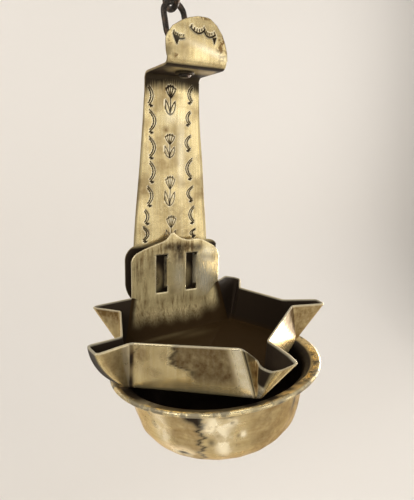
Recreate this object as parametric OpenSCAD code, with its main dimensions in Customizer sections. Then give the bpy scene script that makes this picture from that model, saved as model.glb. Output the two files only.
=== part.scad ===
// Betty lamp: a hanging brass oil lamp with a five-spouted pan over a round drip bowl.
// The lamp hangs by an iron ring, two chain links and a swivel eye from the shelf of its back strap.
// X runs to the lamp's right, Y to its back and Z up. The origin is where a hook carries the ring.

/* [Drip bowl] */
// Radius of the bowl's rim
rim_r = 49; // [44:0.5:60]
// Width of the flat part of the rim's flange
flange_w = 3; // [2.5:0.5:5]
// Radius of the bead along the rim's edge
bead_r = 1; // [0.8:0.1:1.4]
// Radius of the bend from the flange down into the wall
neck_r = 4; // [3.5:0.5:6]
// Lean of the wall from upright, in degrees
wall_slope = 12; // [8:1:18]
// Depth of the bowl from its rim to the underside of its base
bowl_depth = 35; // [32:0.5:42]
// Radius of the round corner between the wall and the base
corner_r = 18; // [14:0.5:20]
// Thickness of the bowl's sheet
bowl_t = 1; // [0.8:0.1:1.4]
// How far the bowl's middle lies to the right of the strap's middle
bowl_x = 1.5; // [0:0.1:2]
// How far the bowl and pan lean with their front raised, in degrees
lean_front = 4; // [0:0.25:6]
// How far the bowl and pan lean with their right side raised, in degrees
lean_side = 4.5; // [0:0.25:6]

/* [Back strap] */
// Thickness of the strap's sheet
strap_t = 1.2; // [1:0.1:1.6]
// Half the strap's width at the top
strap_half = 14.7; // [12:0.1:17]
// Height above the rim where the strap starts to flare
flare_z = 99; // [85:1:110]
// Half the strap's width where the flare ends
flare_half = 21.4; // [18:0.1:23]
// Height above the rim where the flare ends
flare_low = 44; // [42:0.5:45]
// Half the width of the plate behind the shield
plate_half = 26; // [24:0.5:30]
// Height above the rim of the plate's top
plate_top = 46; // [44:0.5:50]
// Height above the rim of the plate's lower end
plate_low = 11; // [8:0.5:12]
// Radius of the plate's shoulders
shoulder_r = 8; // [5:0.5:10]
// Radius of the plate's lower corners
plate_foot_r = 15; // [10:0.5:16]
// Half the width of the neck that goes down behind the rim
neck_half = 11; // [8:0.5:12]
// Gap between the rim's edge and the strap
rim_gap = 1.4; // [0.6:0.1:2]

/* [Shelf and crest] */
// Height of the shelf's underside above the rim
shelf_z = 132.4; // [120:0.2:150]
// Depth of the shelf from the strap's face to the crest's face
shelf_depth = 29.8; // [27:0.2:36]
// Inside radius of the two bends
bend_r = 2; // [1:0.1:3]
// Height of the crest above the shelf's underside
crest_h = 21; // [19:0.2:24]
// Half the crest's width and the radius of its round top
crest_half = 14.2; // [12:0.1:15]

/* [Oil pan] */
// Thickness of the pan's sheet
pan_t = 1; // [0.8:0.1:1.3]
// Gap between the pan's floor and the rim it rests over
pan_gap = 0.3; // [0.2:0.05:0.6]
// How far the floor's front and side corners reach in over the flange from the rim's edge
corner_in = 3.5; // [3:0.1:5]
// Angle of the side corners forward of the X axis, in degrees
side_angle = 7; // [3:0.5:12]
// Distance of the rear corners to each side of the middle
rear_corner_x = 33; // [30:0.5:36]
// How far the rear corners lie in front of the rim's rear edge
rear_corner_in = 9.5; // [8:0.5:12]
// Height of the pan's walls above its underside
wall_h = 20.2; // [15:0.2:24]
// Length of wall that each pinched spout takes up beside its corner
pinch = 7.2; // [5:0.1:9]
// How far the front spout reaches out from its corner
front_reach = 19; // [12:0.5:22]
// How far a side spout reaches out from its corner
side_reach = 13; // [9:0.5:16]
// How far a rear spout reaches out from its corner
rear_reach = 15.5; // [10:0.5:18]
// Width of a spout's nose
nose_w = 3; // [2:0.1:5]
// Rise of a spout's nose above the walls
nose_rise = 0.6; // [0:0.1:3]
// Rise of the rear wall's top above the other walls
rear_rise = 3; // [1:0.1:4]

/* [Shield and tongues] */
// Gap between the shield's back and the strap
shield_gap = 3.4; // [2.6:0.1:5]
// How far the shield's middle lies to the right of the strap's middle
shield_x = 1.5; // [0:0.1:2]
// Half the shield's width
shield_half = 25.5; // [23:0.1:28]
// Height of the shield's shoulders above the rim
shield_top = 47.5; // [46:0.1:52]
// Radius of the shield's shoulders
shield_r = 16; // [12:0.5:17]
// Height of the point in the middle above the shoulders
point_h = 5.4; // [3:0.1:7]
// Radius of the hollows beside the point
hollow_r = 9; // [8:0.1:10]
// Width of a slot in the shield
slot_w = 7; // [5.5:0.1:8]
// Height of a slot
slot_h = 21.5; // [20:0.1:22]
// Height above the rim of a slot's top
slot_top = 41; // [40:0.1:42]
// Distance of a slot's middle from the shield's middle
slot_x = 8.75; // [7:0.05:10]
// Height of the tongue that is bent back from a slot's right edge
tongue_h = 17.5; // [15:0.1:18]
// Slope of a tongue, down towards the back, in degrees
tongue_slope = 25; // [15:1:40]
// How far a tongue stands out behind the strap
tongue_out = 1.5; // [0.8:0.1:2.5]
// Clearance round a tongue in the strap
tongue_gap = 0.2; // [0.15:0.05:0.4]

/* [Rivets] */
// Radius of a rivet's shank
rivet_r = 1.5; // [1.2:0.1:2]
// Radius of a rivet's head
rivet_head_r = 2.9; // [2.6:0.1:3.4]
// Height of a rivet's head
rivet_head_h = 1.4; // [1:0.1:1.8]
// Angle of each rivet from the bowl's middle line, in degrees
rivet_angle = 9; // [7:0.5:10]
// Depth of the rivets below the rim
rivet_z = 13; // [12:0.5:15]

/* [Swivel] */
// Radius of the swivel's shank
shank_r = 2; // [1.6:0.1:2.4]
// Radius of the washer under the shelf
washer_r = 4.6; // [4:0.1:6]
// Thickness of the washer
washer_t = 1.2; // [0.8:0.1:1.6]
// Radius of the swivel's collar above the shelf
collar_r = 3.6; // [3.2:0.1:4.4]
// Height of the collar
collar_h = 4.5; // [3:0.1:6]
// Radius of the eye's wire
eye_wire = 1.5; // [1.2:0.05:1.8]
// Inside radius of the eye
eye_r = 4.2; // [3.8:0.1:5]
// Lean of the eye to the left of its shank, in degrees
eye_lean = 16; // [0:1:18]
// Radius of the peened head under the washer
head_r = 3.2; // [2.8:0.1:3.6]
// Height of the peened head
head_h = 1.5; // [1:0.1:2]

/* [Chain] */
// Radius of a link's wire
link_wire = 1.45; // [1.2:0.05:1.6]
// Inside width of a link
link_in = 8.3; // [7:0.1:9]
// Outside length of a link
link_length = 21.6; // [20:0.2:26]
// Radius of the hanging ring's wire
ring_wire = 1.75; // [1.4:0.05:2]
// Inside radius of the hanging ring
ring_in = 9.25; // [8:0.25:14]
// Lean of the chain to the back, in degrees
chain_back = 12; // [0:1:16]
// Lean of the chain to the left, in degrees
chain_left = 5; // [0:1:16]
// Turn of the chain about its own length, in degrees
chain_twist = 10; // [0:1:15]

/* [Hidden] */
$fn = 96;
BRASS = "goldenrod";
IRON = "dimgray";
// Running clearance of the swivel, and the slack left between chained pieces
run_gap = 0.08;
face_gap = 0.05;
collar_gap = 0.15;
chain_slack = 0.15;
// Clearance of the rivets in their holes, and of the flat faces beside the curved wall
rivet_gap = 0.05;
seat_gap = 0.15;
// A cut runs this far past the faces that it opens
past = 5;

// Strap
strap_front = rim_r + rim_gap;
strap_back = strap_front + strap_t;
shelf_top = shelf_z + strap_t;
crest_front = strap_front - shelf_depth;
crest_back = crest_front + strap_t;
crest_top = shelf_z + crest_h;
hole_y = strap_front - shelf_depth / 2;
// The neck and the tail overlap from this far below the rim to as far above it
neck_lap = 6;

// Bowl: the wall runs down from the flange's bend to the round corner of the base
bend_mid = rim_r - bead_r - flange_w;
wall_top_r = bend_mid - neck_r + bowl_t;
wall_top_z = -neck_r;
corner_z = corner_r - bowl_depth;
wall_foot_z = corner_z - corner_r * sin(wall_slope);
wall_foot_r = wall_top_r - (wall_top_z - wall_foot_z) * tan(wall_slope);
base_r = wall_foot_r - corner_r * cos(wall_slope);
function wall_r(z) = wall_top_r - (wall_top_z - z) * tan(wall_slope);

// Tail of the strap: it goes down behind the rim, in under the flange and along the wall
tail_half = asin(neck_half / rim_r);
tail_gap = seat_gap / cos(wall_slope);
tail_bend_z = -2 * bead_r - strap_t;
tail_wall_z = -rivet_z + rivet_head_r + strap_t;
tail_end_z = -rivet_z - rivet_head_r - strap_t;
tail_path = [[strap_front, neck_lap], [strap_front, tail_bend_z],
             [wall_r(tail_wall_z) + tail_gap, tail_wall_z], [wall_r(tail_end_z) + tail_gap, tail_end_z]];

// Pan: floor corners in order from the front spout, turning to the right
seat_r = rim_r - corner_in;
floor_z = pan_gap;
top_z = floor_z + wall_h;
rear_corner_y = rim_r - rear_corner_in;
floor_pts = [[0, -seat_r], seat_r * [cos(side_angle), -sin(side_angle)], [rear_corner_x, rear_corner_y],
             [-rear_corner_x, rear_corner_y], seat_r * [-cos(side_angle), -sin(side_angle)]];
spout_reach = [front_reach, side_reach, rear_reach, rear_reach, side_reach];
shield_back = strap_front - shield_gap;
shield_front = shield_back - pan_t;
// The rear wall's top lies in the shield, which stands upright
rear_top_z = top_z + rear_rise;
rear_top_y = (shield_back - rear_top_z * sin(lean_front)) / cos(lean_front);
// The shield's foot lies this far below the rear wall's top, on the side where that is lower
shield_lap = 2.5;
rear_low_z = rear_top_z * cos(lean_front) - rear_top_y * sin(lean_front) - shield_half * sin(lean_side);
shield_foot = rear_low_z - shield_lap;
// The shoulders' arcs are cut off at the shield's sides, and the point's tip is cut flat
shoulder_cut = 1.5;
point_tip = 0.5;
tongue_drop = tan(tongue_slope);

// Swivel and chain
hole_r = shank_r + run_gap;
head_top = shelf_z - washer_t - face_gap;
collar_foot = shelf_top + collar_gap;
eye_mid_r = eye_r + eye_wire;
// The eye leans about the middle of its collar
eye_root = [0, hole_y, collar_foot + collar_h / 2];
eye_up = [-sin(eye_lean), 0, cos(eye_lean)];
eye_mid = eye_root + (eye_mid_r + eye_wire) * eye_up;
link_mid = link_in / 2 + link_wire;
link_pitch = link_length - 2 * link_wire;
ring_mid = ring_in + ring_wire;
chain_dir = [-cos(chain_back) * sin(chain_left), sin(chain_back), cos(chain_back) * cos(chain_left)];
// The chain pulls at the point of the eye that lies furthest along it
eye_turn = atan2(chain_dir[1], chain_dir * eye_up);
eye_top = eye_mid + eye_mid_r * (cos(eye_turn) * eye_up + sin(eye_turn) * [0, 1, 0]);
// Heights along the chain from the middle of the eye's wire
lower_z = -eye_wire - link_wire - chain_slack;
upper_z = lower_z + link_pitch - 2 * link_wire - chain_slack;
ring_foot_z = upper_z + link_pitch - link_wire - ring_wire - chain_slack;
hang_z = ring_foot_z + 2 * ring_mid - ring_wire;
hang_point = eye_top + hang_z * chain_dir;

// Frames: the lamp's own, the leaning ones of the pan and the bowl, and the one along the chain
module on_lamp() { translate(-hang_point) children(); }
module on_lean() { on_lamp() rotate([-lean_front, -lean_side, 0]) children(); }
module on_bowl() { on_lean() translate([bowl_x, 0, 0]) children(); }
module on_chain(z) {
  on_lamp() translate(eye_top) rotate([-chain_back, -chain_left, 0]) rotate([0, 0, chain_twist])
    translate([0, 0, z]) children();
}

// The point that lies t to the left of the corner b in a path a, b, c, where the two offset lines cross
function unit(v) = v / norm(v);
function left_of(v) = [-v[1], v[0]];
function miter(a, b, c, t) =
  let (m = left_of(unit(b - a)), n = left_of(unit(c - b))) b + t * (m + n) / (1 + m * n);
function at(list, i) = list[(i + len(list)) % len(list)];
function inset(path, t) = [for (i = [0 : len(path) - 1]) miter(at(path, i - 1), path[i], at(path, i + 1), t)];

// A ring of round wire, upright in the XZ plane, about its middle
module wire_ring(mid_r, wire) { rotate([90, 0, 0]) rotate_extrude() translate([mid_r, 0]) circle(wire); }

// Half of a wire ring, the half above the XY plane
module wire_bow(mid_r, wire) {
  rotate([90, 0, 0]) rotate_extrude(angle = 180) translate([mid_r, 0]) circle(wire);
}

// A chain link in the XZ plane, with the middle of its lower wire at the origin
module link() {
  leg = link_pitch - 2 * link_mid;
  translate([0, 0, link_mid]) mirror([0, 0, 1]) wire_bow(link_mid, link_wire);
  translate([0, 0, link_mid + leg]) wire_bow(link_mid, link_wire);
  for (side = [-1, 1]) translate([side * link_mid, 0, link_mid]) cylinder(h = leg, r = link_wire);
}

module hanging_ring() { color(IRON) on_chain(ring_foot_z + ring_mid) wire_ring(ring_mid, ring_wire); }

module upper_link() { color(IRON) on_chain(upper_z) rotate([0, 0, 90]) link(); }

module lower_link() { color(IRON) on_chain(lower_z) link(); }

// The eye, its collar, the shank through the shelf and the head that is peened over the washer
module swivel_eye() {
  shank_foot = head_top - head_h / 2;
  color(IRON) on_lamp() {
    translate(eye_mid) rotate([0, -eye_lean, 0]) rotate([0, 0, 90]) wire_ring(eye_mid_r, eye_wire);
    translate([0, hole_y, collar_foot]) cylinder(h = collar_h, r = collar_r);
    translate([0, hole_y, shank_foot]) cylinder(h = eye_root[2] - shank_foot, r = shank_r);
    translate([0, hole_y, head_top - head_h]) cylinder(h = head_h, r1 = head_r - head_h / 2, r2 = head_r);
  }
}

module swivel_washer() {
  color(BRASS) on_lamp() translate([0, hole_y, shelf_z - washer_t]) difference() {
    cylinder(h = washer_t, r = washer_r);
    translate([0, 0, -past]) cylinder(h = washer_t + 2 * past, r = hole_r);
  }
}

// Side view of the bent strip, with Y across and Z up: strap, shelf and crest
module strip_profile() {
  bend_out = bend_r + strap_t;
  translate([strap_front, -neck_lap]) square([strap_t, shelf_z - bend_r + neck_lap]);
  translate([crest_back + bend_r, shelf_z]) square([strap_front - crest_back - 2 * bend_r, strap_t]);
  translate([crest_front, shelf_top + bend_r]) square([strap_t, crest_top - shelf_top - bend_r]);
  translate([strap_front - bend_r, shelf_z - bend_r]) difference() {
    intersection() {
      circle(bend_out);
      square(bend_out);
    }
    circle(bend_r);
  }
  translate([crest_back + bend_r, shelf_top + bend_r]) difference() {
    intersection() {
      circle(bend_out);
      translate([-bend_out, -bend_out]) square(bend_out);
    }
    circle(bend_r);
  }
}

// Front view of the strap, with X across and Z up: it flares down to a plate with round corners
module strap_outline() {
  in_top = plate_half - shoulder_r;
  in_foot = plate_half - plate_foot_r;
  polygon([[-strap_half, shelf_top], [-strap_half, flare_z], [-flare_half, flare_low],
           [flare_half, flare_low], [strap_half, flare_z], [strap_half, shelf_top]]);
  translate([-in_top, plate_top - shoulder_r]) square([2 * in_top, shoulder_r]);
  translate([-plate_half, plate_low + plate_foot_r])
    square([2 * plate_half, plate_top - shoulder_r - plate_low - plate_foot_r]);
  translate([-in_foot, plate_low]) square([2 * in_foot, plate_foot_r]);
  for (side = [-1, 1]) {
    translate([side * in_top, plate_top - shoulder_r]) circle(shoulder_r);
    translate([side * in_foot, plate_low + plate_foot_r]) circle(plate_foot_r);
  }
  translate([bowl_x - neck_half, -neck_lap]) square([2 * neck_half, plate_low + plate_foot_r + neck_lap]);
}

// Front view of the shelf and crest: the crest has a round top
module crest_outline() {
  translate([-crest_half, shelf_z]) square([2 * crest_half, crest_h - crest_half]);
  translate([0, crest_top - crest_half]) circle(crest_half);
}

// A front view made solid between two distances along Y
module upright(from_y, to_y) {
  translate([0, to_y, 0]) rotate([90, 0, 0]) linear_extrude(to_y - from_y) children();
}

// The slots in the strap that the tongues pass through
module tongue_slots() {
  high = slot_top - tongue_drop * shield_gap + tongue_gap;
  low = slot_top - tongue_h - tongue_drop * (shield_gap + strap_t) - tongue_gap;
  for (side = [-1, 1])
    translate([tongue_x(side) - tongue_gap, strap_front - past, low - tongue_gap])
      cube([pan_t + 2 * tongue_gap, strap_t + 2 * past, high - low + tongue_gap]);
}

// The strap's tail, curved to the bowl's wall
module tail() {
  inner = tail_path;
  steps = len(inner) - 1;
  outer = [for (i = [0 : steps])
    miter(i == 0 ? 2 * inner[0] - inner[1] : inner[i - 1], inner[i],
          i == steps ? 2 * inner[steps] - inner[steps - 1] : inner[i + 1], strap_t)];
  rotate([0, 0, 90 - tail_half]) rotate_extrude(angle = 2 * tail_half)
    polygon(concat(inner, [for (i = [steps : -1 : 0]) outer[i]]));
}

module back_strap() {
  mid_y = hole_y;
  color(BRASS) difference() {
    union() {
      on_lamp() intersection() {
        translate([-plate_half, 0, 0]) rotate([90, 0, 90]) linear_extrude(2 * plate_half) strip_profile();
        union() {
          upright(mid_y, strap_back) strap_outline();
          upright(crest_front, mid_y) crest_outline();
        }
      }
      on_bowl() tail();
    }
    on_lamp() tongue_slots();
    on_lamp() translate([0, hole_y, shelf_z - past]) cylinder(h = strap_t + 2 * past, r = hole_r);
    on_bowl() rivet_holes();
  }
}

// Places a child at each rivet, with Z along the rivet and the wall's outside at zero
module at_rivets() {
  for (side = [-1, 1])
    rotate([0, 0, 90 + side * rivet_angle])
      translate([wall_r(-rivet_z), 0, -rivet_z]) rotate([0, 90 + wall_slope, 0]) children();
}

module rivet_holes() { at_rivets() translate([0, 0, -past]) cylinder(h = 2 * past, r = rivet_r + rivet_gap); }

// A rivet's round head on its flat face
module rivet_head() {
  dome = (rivet_head_r * rivet_head_r + rivet_head_h * rivet_head_h) / (2 * rivet_head_h);
  rotate_extrude() intersection() {
    translate([0, rivet_head_h - dome]) circle(dome);
    square([rivet_head_r, rivet_head_h]);
  }
}

module bowl_rivets() {
  outside = strap_t + seat_gap + rivet_gap;
  inside = bowl_t + seat_gap;
  color(BRASS) on_bowl() at_rivets() {
    translate([0, 0, -inside]) cylinder(h = inside + outside, r = rivet_r);
    translate([0, 0, outside]) rivet_head();
    translate([0, 0, -inside]) mirror([0, 0, 1]) rivet_head();
  }
}

// The bowl's body below the flange's bend, drawn in by d on every side
module bowl_body(d) {
  side_in = d / cos(wall_slope);
  corner_top = wall_foot_z + d * sin(wall_slope);
  translate([0, 0, wall_foot_z])
    cylinder(h = wall_top_z - wall_foot_z, r1 = wall_foot_r - side_in, r2 = wall_top_r - side_in);
  translate([0, 0, corner_z]) rotate_extrude() intersection() {
    union() {
      translate([base_r, 0]) circle(corner_r - d);
      translate([0, d - corner_r]) square([base_r, corner_r]);
    }
    translate([0, d - corner_r]) square([rim_r, corner_top - corner_z + corner_r - d]);
  }
}

// The flange, its bead and the bend below it
module flange() {
  rotate_extrude() {
    translate([bend_mid, -bowl_t]) square([flange_w, bowl_t]);
    translate([rim_r - bead_r, -bead_r]) circle(bead_r);
    translate([bend_mid, -neck_r]) difference() {
      intersection() {
        circle(neck_r);
        translate([-neck_r, 0]) square(neck_r);
      }
      circle(neck_r - bowl_t);
    }
  }
}

module drip_bowl() {
  throat = bowl_t / 2;
  color(BRASS) on_bowl() difference() {
    union() {
      bowl_body(0);
      flange();
    }
    bowl_body(bowl_t);
    translate([0, 0, wall_top_z - bowl_t]) cylinder(h = bowl_t + throat, r = wall_top_r - bowl_t);
    rivet_holes();
  }
}

// The left face of a tongue, which is bent back at its slot's right edge
function tongue_x(side) = shield_x + side * slot_x + (slot_w - pan_t) / 2;

// One spout's four points along the pan's top: end of a wall, two corners of the nose, start of the next wall
function spout(i) =
  let (v = floor_pts[i], to_last = unit(at(floor_pts, i - 1) - v), to_next = unit(at(floor_pts, i + 1) - v),
       out = -unit(to_last + to_next), nose = v + spout_reach[i] * out, side = nose_w / 2 * left_of(out))
    [v + pinch * to_last, nose - side, nose + side, v + pinch * to_next];
// The far ends of the two rear spouts run into the shield's edges
function rear_end(side) = [shield_x + side * shield_half, rear_top_y];
top_pts = [for (i = [0 : 4]) let (s = spout(i))
  each i == 2 ? [s[0], s[1], s[2], rear_end(1)] : i == 3 ? [rear_end(-1), s[1], s[2], s[3]] : s];
top_heights = [for (i = [0 : 4]) each [i == 3 ? rear_top_z : top_z, top_z + nose_rise, top_z + nose_rise,
                                       i == 2 ? rear_top_z : top_z]];

// The folded pan: floor, walls and pinched spouts as one sheet of even thickness
module folded_pan() {
  n = 5;
  m = 4 * n;
  points = concat(
    [for (p = floor_pts) [p[0], p[1], floor_z]],
    [for (p = inset(floor_pts, pan_t)) [p[0], p[1], floor_z + pan_t]],
    [for (i = [0 : m - 1]) [top_pts[i][0], top_pts[i][1], top_heights[i]]],
    let (inner = inset(top_pts, pan_t)) [for (i = [0 : m - 1]) [inner[i][0], inner[i][1], top_heights[i]]]);
  out = 2 * n;
  in = out + m;
  // Walls of one skin, from the floor's corners at f to the top's points at t
  function skin(f, t) = [for (i = [0 : n - 1]) let (k = t + 4 * i, next = (i + 1) % n) each [
    [f + i, k, k + 1], [f + i, k + 1, k + 2], [f + i, k + 2, k + 3],
    [f + i, k + 3, t + 4 * next], [f + i, t + 4 * next, f + next]]];
  function flip(faces) = [for (p = faces) [p[2], p[1], p[0]]];
  fan = [for (i = [1 : n - 2]) [0, i, i + 1]];
  edge = [for (i = [0 : m - 1]) let (j = (i + 1) % m) each [
    [out + i, in + i, in + j], [out + i, in + j, out + j]]];
  polyhedron(points, concat(fan, [for (p = flip(fan)) p + [n, n, n]], skin(0, out), flip(skin(n, in)), edge));
}

// Front view of the shield: round shoulders and a point between two hollows
module shield_outline() {
  in_x = shield_half - shield_r + shoulder_cut;
  in_z = shield_top - shield_r;
  hollow_x = hollow_r + point_tip;
  translate([shield_x, 0]) {
    intersection() {
      translate([-shield_half, shield_foot]) square([2 * shield_half, shield_top - shield_foot]);
      union() {
        translate([-shield_half, shield_foot]) square([2 * shield_half, in_z - shield_foot]);
        translate([-in_x, in_z]) square([2 * in_x, shield_r]);
        for (side = [-1, 1]) translate([side * in_x, in_z]) circle(shield_r);
      }
    }
    difference() {
      translate([-hollow_x, shield_top - shield_r]) square([2 * hollow_x, shield_r + point_h]);
      for (side = [-1, 1]) translate([side * hollow_x, shield_top + hollow_r]) circle(hollow_r);
    }
  }
}

module shield_slots() {
  for (side = [-1, 1])
    translate([shield_x + side * slot_x - slot_w / 2, slot_top - slot_h]) square([slot_w, slot_h]);
}

// Side view of a tongue, with Y across and Z up
module tongue_profile() {
  reach = shield_gap + strap_t + tongue_out + pan_t;
  translate([shield_front, slot_top])
    polygon([[0, tongue_drop * pan_t], [reach, tongue_drop * (pan_t - reach)],
             [reach, tongue_drop * (pan_t - reach) - tongue_h], [0, tongue_drop * pan_t - tongue_h]]);
}

module oil_pan() {
  color(BRASS) {
    difference() {
      union() {
        on_lean() folded_pan();
        on_lamp() upright(shield_front, shield_back) shield_outline();
      }
      on_lamp() upright(shield_front - past, shield_back + past) shield_slots();
    }
    for (side = [-1, 1])
      on_lamp() translate([tongue_x(side), 0, 0]) rotate([90, 0, 90]) linear_extrude(pan_t) tongue_profile();
  }
}

hanging_ring();
upper_link();
lower_link();
swivel_eye();
swivel_washer();
back_strap();
drip_bowl();
bowl_rivets();
oil_pan();
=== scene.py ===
import functools
import math
import bpy
import numpy as np
from mathutils import Matrix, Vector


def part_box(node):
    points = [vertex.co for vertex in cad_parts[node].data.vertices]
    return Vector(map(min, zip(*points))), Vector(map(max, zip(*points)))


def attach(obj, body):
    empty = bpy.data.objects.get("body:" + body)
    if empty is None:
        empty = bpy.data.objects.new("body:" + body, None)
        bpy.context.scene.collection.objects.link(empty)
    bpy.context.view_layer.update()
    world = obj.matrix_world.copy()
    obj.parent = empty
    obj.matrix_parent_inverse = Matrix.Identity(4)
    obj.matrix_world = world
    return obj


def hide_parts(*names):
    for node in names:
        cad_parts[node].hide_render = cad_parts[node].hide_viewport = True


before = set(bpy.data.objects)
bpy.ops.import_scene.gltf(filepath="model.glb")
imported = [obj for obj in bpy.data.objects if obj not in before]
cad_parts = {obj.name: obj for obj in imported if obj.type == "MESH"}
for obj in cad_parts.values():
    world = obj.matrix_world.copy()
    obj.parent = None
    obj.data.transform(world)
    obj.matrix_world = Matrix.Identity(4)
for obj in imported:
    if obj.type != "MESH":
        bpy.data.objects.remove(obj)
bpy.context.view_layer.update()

# Studio
# A pale sheet runs from the floor up behind the lamp, and a camera stands a hand's breadth to the left of it.
# Soft boxes light it from the right, the left, above and behind.
scene = bpy.context.scene
scene.view_settings.view_transform = "Standard"

# The lamp's own frame has its origin in the middle of the bowl's rim and is measured in millimetres
swivel_axis = np.array([0.0, 35.5, 132.4])
washer_low, washer_high = (np.array(corner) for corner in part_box("swivel_washer"))
washer_top = np.append((washer_low + washer_high)[:2] / 2, washer_high[2])
hang_point = swivel_axis - 1000 * washer_top


def in_row(points):
    """Row frame in metres: (point in the lamp's frame - hanging point) / 1000."""
    return (np.asarray(points, float) - hang_point) / 1000


def turn(axis, degrees):
    """Right-handed turn about the x, y or z axis as a 3 x 3 array."""
    c, s = math.cos(math.radians(degrees)), math.sin(math.radians(degrees))
    i, j = {"x": (1, 2), "y": (2, 0), "z": (0, 1)}[axis]
    made = np.eye(3)
    made[i, i] = made[j, j] = c
    made[i, j], made[j, i] = -s, s
    return made


camera_place = (-92.25, -173.9, 96.01)
camera_yaw, camera_pitch, camera_roll = 26.97, 12.47, 1.42
focal_px, frame_px, sensor_mm = 450, 500, 36
camera_data = bpy.data.cameras.new("camera")
camera_data.sensor_width = sensor_mm
camera_data.lens = focal_px / frame_px * sensor_mm
camera_data.clip_start, camera_data.clip_end = 0.005, 20
camera = bpy.data.objects.new("camera", camera_data)
scene.collection.objects.link(camera)
scene.camera = camera
aim = turn("z", -camera_yaw) @ turn("x", 90 - camera_pitch) @ turn("z", camera_roll)
camera.matrix_world = Matrix.Translation(in_row(camera_place)) @ Matrix(aim).to_4x4()
warm_white = (1.0, 0.975, 0.94)


def unit(vectors):
    """Vectors divided by their lengths."""
    return vectors / np.maximum(np.linalg.norm(vectors, axis=-1, keepdims=True), 1e-12)


def soft_box(name, place, target, size, watts, spread=180):
    """A square lamp of size metres at a place, facing a target, with its light kept within a spread in degrees."""
    data = bpy.data.lights.new(name, "AREA")
    data.size, data.energy, data.color, data.spread = size, watts, warm_white, math.radians(spread)
    made = bpy.data.objects.new(name, data)
    made.visible_camera = False
    scene.collection.objects.link(made)
    back = unit(in_row(place) - in_row(target))
    side = unit(np.cross((0, 0, 1), back))
    facing = Matrix(np.stack([side, np.cross(back, side), back], 1))
    made.matrix_world = Matrix.Translation(in_row(place)) @ facing.to_4x4()


lamp_middle = (0, 10, 60)
soft_box("window_box", (590, -520, 60), lamp_middle, 0.70, 1.9)
soft_box("front_box", (-40, -1050, 200), lamp_middle, 1.20, 3.8)
soft_box("crest_box", (360, -740, 320), lamp_middle, 0.28, 0.08)
soft_box("floor_box", (-260, -420, 160), (-60, -160, -270), 0.30, 0.25, 70)
soft_box("left_front_box", (-300, -800, 330), lamp_middle, 0.28, 0.15)
soft_box("right_box", (700, -20, 160), lamp_middle, 0.50, 1.2)
soft_box("low_right_box", (690, 260, -90), lamp_middle, 0.45, 1.7, 70)
soft_box("left_box", (-640, -260, 300), lamp_middle, 0.40, 1.3)
soft_box("top_box", (60, -60, 760), lamp_middle, 0.50, 1.2)
soft_box("wall_box_left", (-480, 60, 420), (-160, 520, 0), 0.40, 1.15)
soft_box("wall_box_right", (560, 60, 420), (260, 520, 0), 0.40, 0.8)


def set_up(node, inputs):
    """Sets each input of a node to a number or colour, or links it to a socket."""
    for key, value in inputs.items():
        if isinstance(value, bpy.types.NodeSocket):
            node.id_data.links.new(value, node.inputs[key])
        else:
            node.inputs[key].default_value = value


def new_material(name):
    """New material and its Principled BSDF node."""
    made = bpy.data.materials.new(name)
    made.use_nodes = True
    return made, made.node_tree.nodes["Principled BSDF"]


world = bpy.data.worlds.new("studio_air")
scene.world = world
world.use_nodes = True
set_up(world.node_tree.nodes["Background"], {"Color": (0.80, 0.77, 0.73, 1), "Strength": 0.24})

# The sheet's side view goes along the floor, round a quarter circle and up the wall
floor_z, wall_y, sweep_r, sheet_half, sheet_front, sheet_top = -270.0, 520.0, 260.0, 1800.0, -1800.0, 1500.0
quarter = np.linspace(-np.pi / 2, 0, 24)
side_y = np.concatenate([[sheet_front], wall_y - sweep_r + sweep_r * np.cos(quarter), [wall_y]])
side_z = np.concatenate([[floor_z], floor_z + sweep_r + sweep_r * np.sin(quarter), [sheet_top]])


def xyz(x, y, z):
    """Points (x, y, z) from coordinates that are drawn out to one shape."""
    return np.stack(np.broadcast_arrays(x, y, z), -1)


def quads_of(ids):
    """Quads between rows v and columns u of point numbers: (v, u), (v, u + 1), (v + 1, u + 1), (v + 1, u)."""
    return np.stack([ids[:-1, :-1], ids[:-1, 1:], ids[1:, 1:], ids[1:, :-1]], -1).reshape(-1, 4)


def grid_faces(rows, columns, wrap_rows=0, wrap_columns=0, first=0):
    """Quads of a grid of points numbered row by row from first, closed over its rows or columns if they wrap."""
    ids = first + np.arange(rows * columns).reshape(rows, columns)
    return quads_of(np.pad(ids, ((0, wrap_rows), (0, wrap_columns)), "wrap"))


def make_mesh(name, points, faces, material, marks=None):
    """A smooth mesh at the origin from points in the lamp's frame, with one float attribute for each mark."""
    data = bpy.data.meshes.new(name)
    data.from_pydata(in_row(points).reshape(-1, 3).tolist(), [], [f for part in faces for f in part.tolist()])
    data.polygons.foreach_set("use_smooth", np.ones(len(data.polygons), bool))
    for key, value in (marks or {}).items():
        data.attributes.new(key, "FLOAT", "POINT").data.foreach_set("value", np.ravel(value).astype(np.float32))
    data.materials.append(material)
    data.update()
    made = bpy.data.objects.new(name, data)
    scene.collection.objects.link(made)
    return made


paper, paper_skin = new_material("pale_paper")
set_up(paper_skin, {"Base Color": (0.80, 0.765, 0.72, 1), "Roughness": 0.9, "Specular IOR Level": 0.1})
sheet_points = xyz([[-sheet_half], [sheet_half]], side_y, side_z)
backdrop = make_mesh("backdrop", sheet_points, [grid_faces(2, len(side_y))], paper)

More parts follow.
